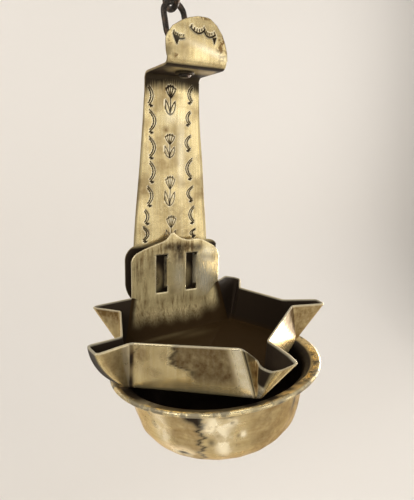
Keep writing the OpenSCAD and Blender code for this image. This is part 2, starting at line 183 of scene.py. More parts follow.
# Hanging ring and chain links
# Round iron wire, bent hot round a mandrel and lap welded, dark with scale and rubbed bright where it bears.
# The ring goes over a hook, the two links hang in each other at a right angle.
chain_foot = np.array([-3.52014, 36.7063, 148.276])
chain_turn = turn("y", -5) @ turn("x", -12) @ turn("z", 10)
ring_wire, ring_mid, ring_foot = 1.75, 11.0, 27.9
link_wire, link_mid, link_leg = 1.45, 5.6, 7.5
lower_foot, upper_foot = -3.1, 12.55
wire_steps, wire_sides = 168, 28
weld_at, weld_width, weld_depth = (4.45, 4.9), 0.05, 0.10
ring_hammer, link_hammer = 0.06, 0.07
u_wire = np.linspace(0, 2 * np.pi, wire_steps, endpoint=False)
v_wire = np.linspace(0, 2 * np.pi, wire_sides, endpoint=False)
u_grid, v_grid = np.meshgrid(u_wire, v_wire, indexing="ij")


def wire_surface(line, out, across, girth):
    """Tube: line(u) + girth(u, v) * (cos v * out(u) + sin v * across), v going once round the wire."""
    ring = np.cos(v_grid)[..., None] * out[:, None] + np.sin(v_grid)[..., None] * across
    return line[:, None] + girth[..., None] * ring


def hammered(depth):
    """Share of the girth left by the hammer: 1 - depth * (1 + mean of three crossing waves) / 2."""
    waves = np.sin(5 * u_grid + 2 * v_grid) + np.sin(9 * u_grid - 3 * v_grid + 1.3) + np.sin(14 * u_grid + v_grid + 2.1)
    return 1 - depth * (1 + waves / 3) / 2


def bell(value, at, width):
    """Bell curve: exp(-((value - at) / width)^2)."""
    return np.exp(-((value - at) / width) ** 2)


def stadium(mid, leg, steps):
    """Link's centre line mid (cos a, 0, 1 + sin a) + (0, 0, lift) and its outward direction (cos a, 0, sin a):
    the angle a turns round the two bows, and the lift goes up one leg and down the other."""
    ends = np.cumsum([0, np.pi * mid, leg, np.pi * mid, leg])
    s = np.linspace(0, ends[-1], steps, endpoint=False)
    angle = np.interp(s, ends, np.pi * np.array([1, 2, 2, 3, 3]))
    lift = np.interp(s, ends, [0, 0, leg, leg, 0])
    out = xyz(np.cos(angle), 0, np.sin(angle))
    return mid * out + xyz(0, 0, mid + lift), out


def on_chain(points, foot, about_z):
    """Lamp's frame from the chain's: chain_foot + chain_turn (turn about z (point) + foot along z)."""
    return chain_foot + (points @ turn("z", about_z).T + [0, 0, foot]) @ chain_turn.T


def add(tree, kind, inputs=(), **settings):
    """Puts one node with its settings and inputs in a tree."""
    made = tree.nodes.new(kind)
    for key, value in settings.items():
        setattr(made, key, value)
    set_up(made, dict(inputs))
    return made


# Each of these puts its node in the tree of the socket that it starts from
def noise(vector, scale, detail, roughness=0.5):
    """Noise of some scale, detail and roughness over a place."""
    inputs = {"Vector": vector, "Scale": scale, "Detail": detail, "Roughness": roughness}
    return add(vector.id_data, "ShaderNodeTexNoise", inputs).outputs["Fac"]


def mark(here, name):
    """Float attribute of the mesh."""
    return add(here.id_data, "ShaderNodeAttribute", attribute_name=name).outputs["Fac"]


def mix(share, first, second):
    """Colour that goes from first to second as share goes from 0 to 1."""
    return add(share.id_data, "ShaderNodeMix", {0: share, 6: first, 7: second}, data_type="RGBA").outputs[2]


def maths(operation, first, second, clamp=False):
    """One sum of two values, or of a value and a number, kept between 0 and 1 if it is clamped."""
    tree = (first if isinstance(first, bpy.types.NodeSocket) else second).id_data
    return add(tree, "ShaderNodeMath", {0: first, 1: second}, operation=operation, use_clamp=clamp).outputs[0]


plus, times, larger = (functools.partial(maths, operation) for operation in ("ADD", "MULTIPLY", "MAXIMUM"))


def span(value, low, high, to_low, to_high):
    """Value from low to high drawn out to the span from to_low to to_high, and held at its ends."""
    inputs = {"Value": value, "From Min": low, "From Max": high, "To Min": to_low, "To Max": to_high}
    return add(value.id_data, "ShaderNodeMapRange", inputs).outputs["Result"]


iron, iron_skin = new_material("scaled_iron")
here = add(iron.node_tree, "ShaderNodeTexCoord").outputs["Object"]
scale_noise, rust_noise = noise(here, 900.0, 5.0, 0.65), noise(here, 260.0, 3.0)
scale_colour = mix(span(scale_noise, 0.35, 0.62, 0, 1), (0.020, 0.017, 0.015, 1), (0.075, 0.062, 0.050, 1))
rusty = mix(span(rust_noise, 0.52, 0.70, 0.0, 0.55), scale_colour, (0.16, 0.085, 0.045, 1))
rubbed = mix(times(mark(here, "rub"), 0.6), rusty, (0.34, 0.31, 0.27, 1))
iron_bump = add(iron.node_tree, "ShaderNodeBump", {"Strength": 0.5, "Distance": 0.0002, "Height": scale_noise})
set_up(iron_skin, {"Base Color": rubbed, "Roughness": span(scale_noise, 0.3, 0.7, 0.34, 0.62),
                   "Normal": iron_bump.outputs["Normal"], "Metallic": 0.85})

across_plane = np.array([0.0, 1.0, 0.0])
circle_out = xyz(np.cos(u_wire), 0, np.sin(u_wire))
link_line, link_out = stadium(link_mid, link_leg, wire_steps)
wire_faces = grid_faces(wire_steps, wire_sides, 1, 1)
# A lap weld thins the wire to a shallow step on each side of it
weld = 1 - weld_depth * sum(bell(u_grid, at, weld_width) for at in weld_at)
ring_points = wire_surface(ring_mid * circle_out + [0, 0, ring_mid], circle_out, across_plane,
                           ring_wire * hammered(ring_hammer) * weld)
link_points = wire_surface(link_line, link_out, across_plane, link_wire * hammered(link_hammer) * weld)
# The bearing places are the insides of the bows
within = np.clip(-np.cos(v_grid), 0, 1)
ring_rub = within * np.abs(np.sin(u_grid)) ** 6
link_rub = within * np.clip(np.abs(link_out[:, 2:]) * 1.2 - 0.3, 0, 1) ** 2
chain_pieces = [("forged_ring", "hanging_ring", "ring", ring_points, ring_foot, 0, ring_rub),
                ("forged_upper_link", "upper_link", "upper", link_points, upper_foot, 90, link_rub),
                ("forged_lower_link", "lower_link", "lower", link_points, lower_foot, 0, link_rub)]
for piece_name, node_name, body_name, points, foot, about_z, rub_mark in chain_pieces:
    piece = make_mesh(piece_name, on_chain(points, foot, about_z), [wire_faces], iron, {"rub": rub_mark})
    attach(piece, body_name)
    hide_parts(node_name)

# Swivel eye
# Iron: a peened head, a shank that turns in the shelf, a collar, and a wire eye that leans to the left.
# Forged in one piece; the head holds the washer against the shelf's underside.
head_r, head_foot, head_top = 3.2, 129.65, 131.15
shank_r, collar_r, collar_foot, collar_top = 2.0, 3.6, 133.75, 138.25
eye_middle, eye_mid, eye_wire, eye_lean = np.array([-1.98459, 35.5, 142.921]), 5.7, 1.5, 16
turned_sides = 64


def turned(profile, sides, closed=0):
    """Turned surface: (r(s) cos u, r(s) sin u, z(s)) of a profile that is closed, or starts and ends on the axis."""
    u = np.linspace(0, 2 * np.pi, sides, endpoint=False)
    rows = profile if closed else profile[1:-1]
    r, z = rows[:, :1], rows[:, 1:]
    grid = xyz(r * np.cos(u), r * np.sin(u), z).reshape(-1, 3)
    faces = [grid_faces(len(rows), sides, closed, 1)]
    if closed:
        return grid, faces
    fan = np.arange(sides)
    last, on = (len(rows) - 1) * sides, np.roll(fan, -1)
    poles = np.array([[0, 0, profile[0, 1]], [0, 0, profile[-1, 1]]])
    faces.append(np.stack([on, fan, np.full(sides, len(grid))], 1))
    faces.append(np.stack([last + fan, last + on, np.full(sides, len(grid) + 1)], 1))
    return np.concatenate([grid, poles]), faces


def arc(centre, radius, start, end, steps):
    """Points centre + radius (cos a, sin a) with a from start to end in degrees."""
    a = np.radians(np.linspace(start, end, steps))
    return np.stack([centre[0] + radius * np.cos(a), centre[1] + radius * np.sin(a)], 1)


on_swivel = [swivel_axis[0], swivel_axis[1], 0]
stem_profile = np.array([
    (0, head_foot), (1.6, head_foot + 0.02), (2.4, head_foot + 0.25), (2.95, head_foot + 0.7),
    (head_r, head_top - 0.3), (3.1, head_top), (shank_r + 0.2, head_top), (shank_r, head_top + 0.2),
    (shank_r, collar_foot - 0.1), (2.3, collar_foot), (3.3, collar_foot), (collar_r, collar_foot + 0.4),
    (collar_r, collar_foot + 3.0), (3.35, collar_foot + 3.7), (2.8, collar_top - 0.2), (1.6, collar_top),
    (0, collar_top)], float)
stem_points, stem_faces = turned(stem_profile, turned_sides)
eye_up = turn("y", -eye_lean)[:, 2]
eye_out = np.cos(u_wire)[:, None] * across_plane + np.sin(u_wire)[:, None] * eye_up
eye_points = wire_surface(eye_middle + eye_mid * eye_out, eye_out, np.cross(across_plane, eye_up),
                          eye_wire * hammered(ring_hammer)).reshape(-1, 3)
eye_rub = within * np.clip(np.sin(u_grid), 0, 1) ** 3
eye_faces = grid_faces(wire_steps, wire_sides, 1, 1, len(stem_points))[:, ::-1]
swivel = make_mesh("forged_swivel", np.concatenate([stem_points + on_swivel, eye_points]), stem_faces + [eye_faces],
                   iron, {"rub": np.concatenate([np.zeros(len(stem_points)), eye_rub.ravel()])})
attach(swivel, "swivel")
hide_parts("swivel_eye")

# Washer
# Brass, punched out of thick sheet, with its edges broken; it lies between the shelf and the peened head.
# The node groups of all the brass pieces come first: what the metal looks like, its brush marks and its tarnish.
washer_r, washer_hole, washer_foot, washer_edge = 4.6, 2.08, 131.2, 0.2


def node_group(name, inputs, outputs):
    """Empty node group with sockets from name: kind tables, its inputs' sockets and its output node."""
    made = bpy.data.node_groups.new(name, "ShaderNodeTree")
    for way, sockets in (("INPUT", inputs), ("OUTPUT", outputs)):
        for socket, kind in sockets.items():
            made.interface.new_socket(socket, in_out=way, socket_type="NodeSocket" + kind)
    return made, made.nodes.new("NodeGroupInput").outputs, made.nodes.new("NodeGroupOutput")


# Aged brass: gold to pale by the brush marks, then satin, brown smudges, dark oxidation and painted shade, pale wear
# and painted highlights, and soot over them
brass_masks = ["Brush", "Smudge", "Oxide_and_shade", "Wear_and_highlight", "Soot", "Satin"]
aged_brass, aged, aged_end = node_group(
    "aged_brass", dict.fromkeys(brass_masks, "Float"),
    {"Color": "Color", "Roughness": "Float", "Metallic": "Float", "Specular": "Float"})
dark_share = span(aged["Oxide_and_shade"], 0, 0.85, 0, 1)
coat = mix(aged["Brush"], (0.56, 0.43, 0.19, 1), (0.76, 0.64, 0.37, 1))
for share, tint in [(times(aged["Satin"], 0.85), (0.90, 0.74, 0.38, 1)), (aged["Smudge"], (0.200, 0.120, 0.044, 1)),
                    (dark_share, (0.022, 0.015, 0.010, 1)), (aged["Wear_and_highlight"], (0.92, 0.83, 0.60, 1)),
                    (aged["Soot"], (0.034, 0.018, 0.006, 1))]:
    coat = mix(share, coat, tint)
rough = plus(span(aged["Smudge"], 0, 1, 0.21, 0.40), span(aged["Oxide_and_shade"], 0, 1, 0, 0.25))
dull = larger(aged["Soot"], dark_share)
set_up(aged_end, {"Color": coat, "Roughness": plus(rough, span(aged["Soot"], 0, 1, 0, 0.30), True),
                  "Metallic": times(span(dull, 0, 1, 1.0, 0.05), span(aged["Satin"], 0, 1, 1.0, 0.15)),
                  "Specular": span(dull, 0, 1, 0.5, 0.10)})

# Brush marks: a noise drawn out along one direction by the three factors of its grain
brushed, brushed_in, brushed_end = node_group("brush_marks", {"Vector": "Vector", "Grain": "Vector"}, {"Mask": "Float"})
drawn = add(brushed, "ShaderNodeVectorMath", {0: brushed_in["Vector"], 1: brushed_in["Grain"]}, operation="MULTIPLY")
set_up(brushed_end, {"Mask": span(noise(drawn.outputs[0], 1.0, 4.0, 0.6), 0.28, 0.72, 0, 1)})

# Tarnish: a cloudy noise of some size in millimetres, cut at a level with a soft edge
tarnish, tarnish_in, tarnish_end = node_group(
    "tarnish", {"Vector": "Vector", "Size": "Float", "Level": "Float", "Soft": "Float"}, {"Mask": "Float"})
clouds = noise(tarnish_in["Vector"], maths("DIVIDE", 1.0, tarnish_in["Size"]), 6.0, 0.62)
above = maths("SUBTRACT", clouds, tarnish_in["Level"])
set_up(tarnish_end, {"Mask": maths("DIVIDE", above, tarnish_in["Soft"], True)})


def brush(here, *grain):
    """Mask of brush marks with a grain."""
    return add(here.id_data, "ShaderNodeGroup", {"Vector": here, "Grain": grain}, node_tree=brushed).outputs["Mask"]


def cloud(here, size, level, soft):
    """Mask of tarnish of a size, cut at a level with a soft edge."""
    inputs = {"Vector": here, "Size": size, "Level": level, "Soft": soft}
    return add(here.id_data, "ShaderNodeGroup", inputs, node_tree=tarnish).outputs["Mask"]


def brass_material(name):
    """New material, its skin, and the place in the lamp's frame in mm: object coordinates * 1000 + hanging point."""
    made, skin = new_material(name)
    inputs = {0: add(made.node_tree, "ShaderNodeTexCoord").outputs["Object"], 1: (1000,) * 3, 2: hang_point}
    return made, skin, add(made.node_tree, "ShaderNodeVectorMath", inputs, operation="MULTIPLY_ADD").outputs[0]


def finish_brass(skin, masks, height, depth):
    """Aged brass from its six masks, with a height for fine relief of depth millimetres."""
    made = add(skin.id_data, "ShaderNodeGroup", dict(zip(brass_masks, masks)), node_tree=aged_brass).outputs
    relief = add(skin.id_data, "ShaderNodeBump", {"Strength": 1.0, "Distance": depth / 1000, "Height": height})
    set_up(skin, {"Base Color": made["Color"], "Roughness": made["Roughness"], "Metallic": made["Metallic"],
                  "Specular IOR Level": made["Specular"], "Specular Tint": (1.0, 0.80, 0.55, 1),
                  "Normal": relief.outputs["Normal"]})


small_brass, small_skin, here = brass_material("small_brass")
turning = brush(here, 1.5, 1.5, 1.5)
finish_brass(small_skin, [turning, cloud(here, 3.0, 0.42, 0.25), 0.82, 0.0, 0.0, 0.2], turning, 0.03)
washer_top_z = swivel_axis[2]
washer_profile = np.array([
    (washer_hole, washer_foot + washer_edge), (washer_hole + washer_edge, washer_foot),
    (washer_r - washer_edge, washer_foot), (washer_r, washer_foot + washer_edge),
    (washer_r, washer_top_z - washer_edge), (washer_r - washer_edge, washer_top_z),
    (washer_hole + washer_edge, washer_top_z), (washer_hole, washer_top_z - washer_edge)])
washer_points, washer_faces = turned(washer_profile, turned_sides, 1)
washer = make_mesh("punched_washer", washer_points + on_swivel, washer_faces, small_brass)
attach(washer, "lamp")
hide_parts("swivel_washer")

# Strap, shelf and crest
# One strip of sheet brass, flared below to a plate with round corners and drawn in to a tail that is riveted to
# the bowl. The shelf and the round-topped crest are bent up, and crescents and sprigs are stamped into its front.
strap_t, strap_y, strap_half, flare_low = 1.2, 51.0, 14.6, 44.0
plate_half, plate_top, shoulder_r, plate_low, plate_foot_r = 26.0, 46.0, 8.0, 11.0, 15.0
bend_mid, shelf_z, crest_bend, crest_y = 3.4, 133.0, 3.2, 21.2
crest_half, crest_top, crest_lean = 14.4, 153.6, 2.6
lean = turn("y", -4.5) @ turn("x", -4)
bowl_x, neck_half, tail_half, tail_rows = 1.5, 11.0, 13.0, 26
tongue_x, tongue_half_slot, tongue_slot_low, tongue_slot_high = (13.75, -3.75), 1.0, 20.8, 39.3
swivel_hole, stamp_depth, stroke, crest_stamp_low, near_by = 2.4, 0.35, 0.25, 139, 0.01
foot_high, fine_low, fine_high, bend_z = 18.5, 41.5, 47.0, shelf_z - bend_mid
wave_height, wave_up, wave_across, strap_bulge = 0.42, 7.0, 8.0, 0.5


def on_bowl(points):
    """Lamp's frame from the bowl's: lean (point + (bowl_x, 0, 0))."""
    return (points + [bowl_x, 0, 0]) @ lean.T


def ease(value, low, high):
    """Smooth step from 0 at low to 1 at high."""
    t = np.clip((value - low) / (high - low), 0, 1)
    return t * t * (3 - 2 * t)


def band(value, low, full, fade, high):
    """Smooth band: 0 at low, 1 from full to fade, and 0 at high."""
    return ease(value, low, full) * (1 - ease(value, fade, high))


def along(points, steps):
    """Polyline cut into even steps by its length."""
    points = np.asarray(points, float)
    length = np.append(0, np.cumsum(np.linalg.norm(np.diff(points, axis=0), axis=1)))
    s = np.linspace(0, length[-1], steps)
    return np.stack([np.interp(s, length, column) for column in points.T], 1)


def sheet_metal(mid, quads, thick, relief, marks, bulge, bands=3):
    """Sheet on a surface: outer skin mid + n (t / 2 - relief), inner skin mid - n t / 2, and along each free edge
    a round edge mid + t / 2 (n sin a + bulge o cos a), with n the normal and o pointing out of the surface."""
    used, back = np.unique(quads, return_inverse=True)
    mid, quads = mid[used], back.reshape(-1, 4)
    relief, count, half = relief[used], len(mid), thick / 2
    corner = mid[quads]
    normal, out = np.zeros_like(mid), np.zeros_like(mid)
    np.add.at(normal, quads, np.cross(corner[:, 2] - corner[:, 0], corner[:, 3] - corner[:, 1])[:, None, :])
    normal = unit(normal)
    starts, ends = quads.ravel(), np.roll(quads, -1, 1).ravel()
    free = ~np.isin(starts * count + ends, ends * count + starts)
    a, b = starts[free], ends[free]
    way = unit(np.cross(mid[b] - mid[a], normal[a] + normal[b]))
    np.add.at(out, a, way)
    np.add.at(out, b, way)
    rim = np.unique(np.append(a, b))
    turn_by = np.radians(np.linspace(90, -90, bands + 2)[1:-1])[:, None, None]
    edge_rows = mid[rim] + half * (np.sin(turn_by) * normal[rim] + bulge * np.cos(turn_by) * unit(out[rim]))
    points = np.concatenate([mid + normal * (half - relief)[:, None], mid - normal * half, edge_rows.reshape(-1, 3)])
    place = np.zeros(count, int)
    place[rim] = np.arange(len(rim))
    levels = [np.arange(count)] + [2 * count + k * len(rim) + place for k in range(bands)] + [count + np.arange(count)]
    faces = [quads, quads[:, ::-1] + count]
    faces += [np.stack([up[b], up[a], low[a], low[b]], 1) for up, low in zip(levels, levels[1:])]
    edge = np.zeros(count)
    edge[rim] = 1
    made = {"edge": np.concatenate([edge, edge, np.ones(bands * len(rim))])}
    for key, (outer, inner) in marks.items():
        outer, inner = outer[used], inner[used]
        made[key] = np.concatenate([outer, inner, np.tile((outer + inner)[rim] / 2, bands)])
    return points, faces, made


# Rows of the strip, from the tail's end up to the top of the crest
tail_path = along([(39.96, -17.2), (41.75, -9.2), (51.0, -3.4), (51.0, 6.0)], 34)
tail_path = np.stack([np.convolve(np.pad(column, 2, "edge"), [0.1, 0.2, 0.4, 0.2, 0.1], "valid")
                      for column in tail_path.T], 1)[:tail_rows]
neck_z = np.linspace(1.0, plate_low, 14)
foot_z = plate_low + (foot_high - plate_low) * np.linspace(0, 1, 16)[1:] ** 2
row_spans = [(foot_high, fine_low, 30), (fine_low, fine_high, 22), (fine_high, bend_z, 236)]
flat_z = np.concatenate([neck_z, foot_z] + [np.linspace(low, high, rows)[1:] for low, high, rows in row_spans])
shelf_y = np.linspace(strap_y - bend_mid, crest_y + crest_bend, 50)[1:]
crest_arc = np.radians(np.linspace(0, 84, 60)[1:])
crest_z = np.concatenate([np.linspace(shelf_z + crest_bend, crest_top - crest_half, 12)[1:],
                          crest_top - crest_half + crest_half * np.sin(crest_arc)])
bend_a = arc((strap_y - bend_mid, bend_z), bend_mid, 0, 90, 11)[1:]
bend_b = arc((crest_y + crest_bend, shelf_z + crest_bend), crest_bend, -90, -180, 14)[1:]
row_parts = [(strap_y, flat_z), bend_a.T, (shelf_y, shelf_z), bend_b.T, (crest_y, crest_z)]
row_y, row_z = np.concatenate([np.stack(np.broadcast_arrays(y, z)) for y, z in row_parts], 1)


def corner_half(radius, away):
    """Half width of the plate at a round corner: plate_half - radius + sqrt(radius^2 - away^2)."""
    return plate_half - radius + np.sqrt(np.clip(radius ** 2 - away ** 2, 0, None))


def plate_side(shoulder):
    """Half width of the lower strip: neck, round foot, shoulder, then the flare."""
    foot = corner_half(plate_foot_r, plate_low + plate_foot_r - flat_z)
    plate = np.select([flat_z < plate_low, flat_z < plate_low + plate_foot_r, flat_z <= plate_top + 0.8],
                      [neck_half, foot, shoulder], 0)
    flare = np.interp(flat_z, [44, 50, 64, 80, 96, 111, 125, 131],
                      [21.2, 20.9, 19.8, 18.2, 16.8, 15.5, 14.7, strap_half])
    return np.where(flat_z < flare_low, plate, np.maximum(plate, flare))


# The plate's right shoulder stands up as a blunt corner, the left one is round
round_part = np.select([flat_z < plate_top - shoulder_r, flat_z <= plate_top],
                       [plate_half, corner_half(shoulder_r, flat_z - plate_top + shoulder_r)], 0)
blunt_part = np.interp(flat_z, [26, 34, 43.5, 44.6, 45.8, 46.4, 46.8], [26, 27, 27.5, 27, 25.4, 23.5, 20])
crest_mid = crest_lean * ease(crest_z, 145, 153.6)
crest_left = np.interp(crest_z, [135, 138.5, 143.5, 145.4, 148.5, 151, 152.5, 153.4, 153.7],
                       [-14.4, -14.7, -14.6, -13.9, -11.7, -7.7, -4.2, -0.7, 1.6])
crest_right = np.interp(crest_z, [135, 136.6, 139.8, 143.3, 147.3, 150.8, 153.1, 153.7],
                        [14.8, 14.8, 14.5, 13.5, 11.8, 9.1, 6.0, 3.6])
shelf_half = np.concatenate([np.full(len(bend_a), strap_half), np.linspace(strap_half, crest_half, len(shelf_y)),
                             np.full(len(bend_b), crest_half)])
row_x = np.concatenate([bowl_x * (1 - ease(flat_z, plate_low - 3, plate_low)), 0 * shelf_half, crest_mid])
row_left = np.concatenate([plate_side(round_part), shelf_half, crest_mid - crest_left])
row_right = np.concatenate([plate_side(blunt_part), shelf_half, crest_right - crest_mid])

# Columns of the strip: fine bands run where the stamps and the tongues' slots lie
cells = [3, 20, 8, 28, 8, 20, 3]
on_back = row_y > strap_y - near_by
in_plate = np.where(on_back, 1 - ease(row_z, 41.5, 46), 0)
belly_left = np.interp(row_z, [52, 61, 72, 85, 97, 110, 122], [-13, -13, -10.7, -9.6, -9.3, -9.0, -10.6])
belly_right = np.interp(row_z, [51, 61, 73, 86, 100, 112, 124], [11, 10.1, 8.7, 7.9, 7.2, 7.6, 8.5])
belly_left, belly_right = np.where(on_back, belly_left, -9.6), np.where(on_back, belly_right, 7.8)
strap_knots = np.stack(np.broadcast_arrays(belly_left - 4.6, belly_left + 0.9, -4, 4, belly_right - 0.9,
                                           belly_right + 4.6), 1)
plate_knots = np.array([-17.5, -12.5, -5.2, 2.8, 11.6, 17.6])
knots = strap_knots + in_plate[:, None] * (plate_knots - strap_knots)
# A row that is narrower than its knots draws them in
draw_left = np.minimum(1, (row_left - 0.3) / -knots[:, 0])[:, None]
draw_right = np.minimum(1, (row_right - 0.3) / knots[:, 5])[:, None]
knots = knots * np.where(knots < 0, draw_left, draw_right)
knots = np.concatenate([-row_left[:, None], knots, row_right[:, None]], 1)
cell_at = np.concatenate([k + np.arange(n) / n for k, n in enumerate(cells)] + [[len(cells)]])
left_knot = np.minimum(cell_at.astype(int), len(cells) - 1)
share = cell_at - left_knot
column_x = knots[:, left_knot] * (1 - share) + knots[:, left_knot + 1] * share
strip = xyz(row_x[:, None] + column_x, row_y[:, None], row_z[:, None])

# The tail is curved round the bowl, and the neck goes over from the curve to the flat plate
tail_c = column_x[0] / neck_half * math.radians(tail_half)


def round_bowl(r, z):
    """Tail's surface: (r sin c, r cos c, z) in the bowl's frame, with c across the tail."""
    r, z = r[:, None], z[:, None]
    return on_bowl(xyz(r * np.sin(tail_c), r * np.cos(tail_c), z))


neck_rows = len(neck_z)
curved_neck = round_bowl(np.full(neck_rows, strap_y), neck_z)
to_flat = ease(neck_z, 2.0, plate_low)[:, None, None]
strip[:neck_rows] = curved_neck + to_flat * (strip[:neck_rows] - curved_neck)
below_neck = tail_path[:, 1] < neck_z[0] - 0.2
strip = np.concatenate([round_bowl(*tail_path.T)[below_neck], strip])
strip_rows, strip_columns = strip.shape[:2]

# Stamps: crescents are (low, high, x of the bulge, x of the ends), sprigs (low, high, x), and the crest's marks
# three points (x, z)
crescents_left = [(117.0, 127.5, -10.6, -13.5), (103.9, 116.1, -9.0, -13.3), (91.0, 102.9, -9.3, -13.4),
                  (78.8, 90.5, -9.6, -13.1), (66.3, 77.7, -10.7, -14.3), (56.8, 65.3, -13.0, -15.7),
                  (47.2, 56.3, -13.0, -16.9)]
crescents_right = [(119.6, 129.0, 8.5, 11.5), (108.4, 116.4, 7.6, 10.5), (95.2, 104.2, 7.2, 11.0),
                   (80.2, 92.3, 7.9, 12.2), (68.2, 77.5, 8.7, 13.0), (56.0, 66.6, 10.1, 13.9),
                   (48.1, 53.7, 11.0, 14.7)]
sprigs = [(113.4, 128.0, -1.4), (91.7, 103.9, -1.4), (66.4, 82.3, -1.4), (46.0, 60.9, -0.5)]
sprig_wear = (1.0, 0.60, 0.55, 0.55)
garland = np.array([(-11.7, 145.2, -9.85, 142.4, -7, 143.6), (-3.9, 148.7, 0.1, 144.3, 3.2, 148.4),
                    (2.7, 147.6, 4.6, 143.9, 8.4, 146.7)])
garland_wedges = np.array([(-10.2, 141.2, -11.6, 144.6, -9.35, 143.9), (7.9, 143.2, 7.2, 145.2, 8.7, 145.7)])


def strokes_of(line):
    """Straight strokes (x0, z0, x1, z1) from each point of a line to the next."""
    line = np.asarray(line, float)
    return np.concatenate([line[:-1], line[1:]], 1)


def bow(first, middle, last, steps=9):
    """Quadratic curve from first to last that leans towards middle: (1-t)^2 first + 2t (1-t) middle + t^2 last."""
    first, middle, last = (np.asarray(p, float) for p in (first, middle, last))
    t = np.linspace(0, 1, steps).reshape(-1, *[1] * first.ndim)
    return (1 - t) ** 2 * first + 2 * t * (1 - t) * middle + t ** 2 * last


def wedge(tip, left, right):
    """A three-sided mark: strokes from its tip to points along its upper side."""
    return np.concatenate([np.tile(tip, (5, 1)), np.linspace(left, right, 5)], 1)


def crescent(first, middle, last, back):
    """A bowed line and a second one behind it with short teeth, and a wedge beside its lower end."""
    front = bow(first, middle, last)
    rear = front[1:-1] + back
    wedge_tip, wedge_side = first - 1.9 * back - [0, 0.2], first - 0.7 * back - [0, 0.2]
    return np.concatenate([strokes_of(front), strokes_of(rear), np.concatenate([rear, rear + 0.35 * back], 1),
                           wedge(wedge_tip, wedge_side - [0, 0.5], wedge_side + [0, 0.5])])


def toothed(first, middle, last):
    """A broad bowed line with a row of six teeth standing clear above it."""
    front = bow(first, middle, last, 13)
    teeth = front[1:-1:2]
    return np.concatenate([strokes_of(front), strokes_of(front + [0, 0.25]),
                           np.concatenate([teeth + [0, 1.0], teeth + [0, 1.7]], 1)])


def sprig(low, high, x):
    """Flower of fanned strokes on a stem, between two tall leaves that spring from its foot."""
    h = high - low
    foot, cup = np.array([x, low]), np.array([x + 0.2, low + 0.56 * h])
    tips = cup + np.array([(-2.6, 0.34), (-1.4, 0.42), (-0.1, 0.44), (1.3, 0.43), (2.7, 0.35)]) * [1, h]
    fan = [bow(cup, (cup + tip) / 2 + [0.35 * (tip[0] - cup[0]), 0], tip, 5) for tip in tips]
    brim = np.stack([tips[:-1], (tips[:-1] + tips[1:]) / 2 - [0, 0.05 * h]], 1).reshape(-1, 2)
    leaves = [bow(foot, foot + [side * out, up * h], foot + [side * 2.7, height * h], 6)
              for side, height in ((-1, 0.50), (1, 0.46)) for out, up in ((3.2, 0.08), (0.7, 0.34))]
    return np.concatenate([strokes_of(line) for line in fan + [brim, [foot, cup]] + leaves])


def pressed(points, strokes):
    """Depth of a stamp from 0 to 1: exp(-(distance to the nearest stroke / stroke width)^2)."""
    start, way = strokes[:, :2], strokes[:, 2:] - strokes[:, :2]
    size = np.maximum((way ** 2).sum(1), 1e-9)
    t = np.clip(((points[:, None] - start) * way).sum(2) / size, 0, 1)
    gap = ((points[:, None] - start - t[..., None] * way) ** 2).sum(2).min(1)
    return np.exp(-gap / stroke ** 2)


strap_stamps = []
for side, table in ((1.0, crescents_left), (-1.0, crescents_right)):
    for low, high, bulge_x, end_x in table:
        end_x = end_x + 0.7 * side
        first, last = np.array([end_x, low + 0.6]), np.array([end_x, high - 0.6])
        middle = np.array([2 * bulge_x - end_x, (low + high) / 2])
        strap_stamps.append((1.0, crescent(first, middle, last, np.array([-1.1 * side, 0]))))
strap_stamps += [(wear, sprig(*row)) for wear, row in zip(sprig_wear, sprigs)]
crest_stamps = [(1.0, shape(row[:2], row[2:4], row[4:]))
                for shape, table in ((toothed, garland), (wedge, garland_wedges)) for row in table]
flat_x, flat_y, flat_z = strip.reshape(-1, 3).T
stamp = np.zeros(strip_rows * strip_columns)
for zone, stamps in (((flat_y > strap_y - near_by) & (flat_z > flare_low), strap_stamps),
                     ((flat_y < crest_y + near_by) & (flat_z > crest_stamp_low), crest_stamps)):
    for wear, strokes in stamps:
        low, high = strokes[:, [1, 3]].min() - 1, strokes[:, [1, 3]].max() + 1
        near = np.flatnonzero(zone & (flat_z > low) & (flat_z < high))
        stamp[near] = np.maximum(stamp[near], wear * pressed(np.stack([flat_x[near], flat_z[near]], 1), strokes))

# Hand-bent sheet is never quite flat: the strap has low waves, and the crest's left side lies back
x, y, z = np.moveaxis(strip, -1, 0)
wave = wave_height * np.sin(z / wave_up + 0.10 * x) * np.cos(x / wave_across + 0.6)
y = y + wave * ease(z, 50, 70) * (y > strap_y - near_by)
crest_face = ease(z, 133.2, 142) * (y < crest_y + crest_bend + near_by)
y = y + crest_face * (0.38 * np.logaddexp(0, 1.5 * (-x - 10)) / 1.5 + 0.5 * ease(z, 143, 154))
strip = xyz(x, y, z)
cell_x, cell_y, cell_z = np.moveaxis(strip[:-1, :-1] + strip[1:, 1:] + strip[:-1, 1:] + strip[1:, :-1], -1, 0) / 4
cut = (np.hypot(cell_x - swivel_axis[0], cell_y - swivel_axis[1]) < swivel_hole) & (np.abs(cell_z - shelf_z) < 0.5)
for middle in tongue_x:
    cut |= (np.abs(cell_x - middle) < tongue_half_slot) & (cell_y > strap_y - 1) & (
        cell_z > tongue_slot_low) & (cell_z < tongue_slot_high)
strip_quads = grid_faces(strip_rows, strip_columns)[~cut.ravel()]


def spots(across, up, table):
    """Sum of soft round spots: share bell(across - a, width) bell(up - b, height) for each row of a table."""
    return sum(share * bell(across, a, width) * bell(up, b, height) for a, b, width, height, share in table)
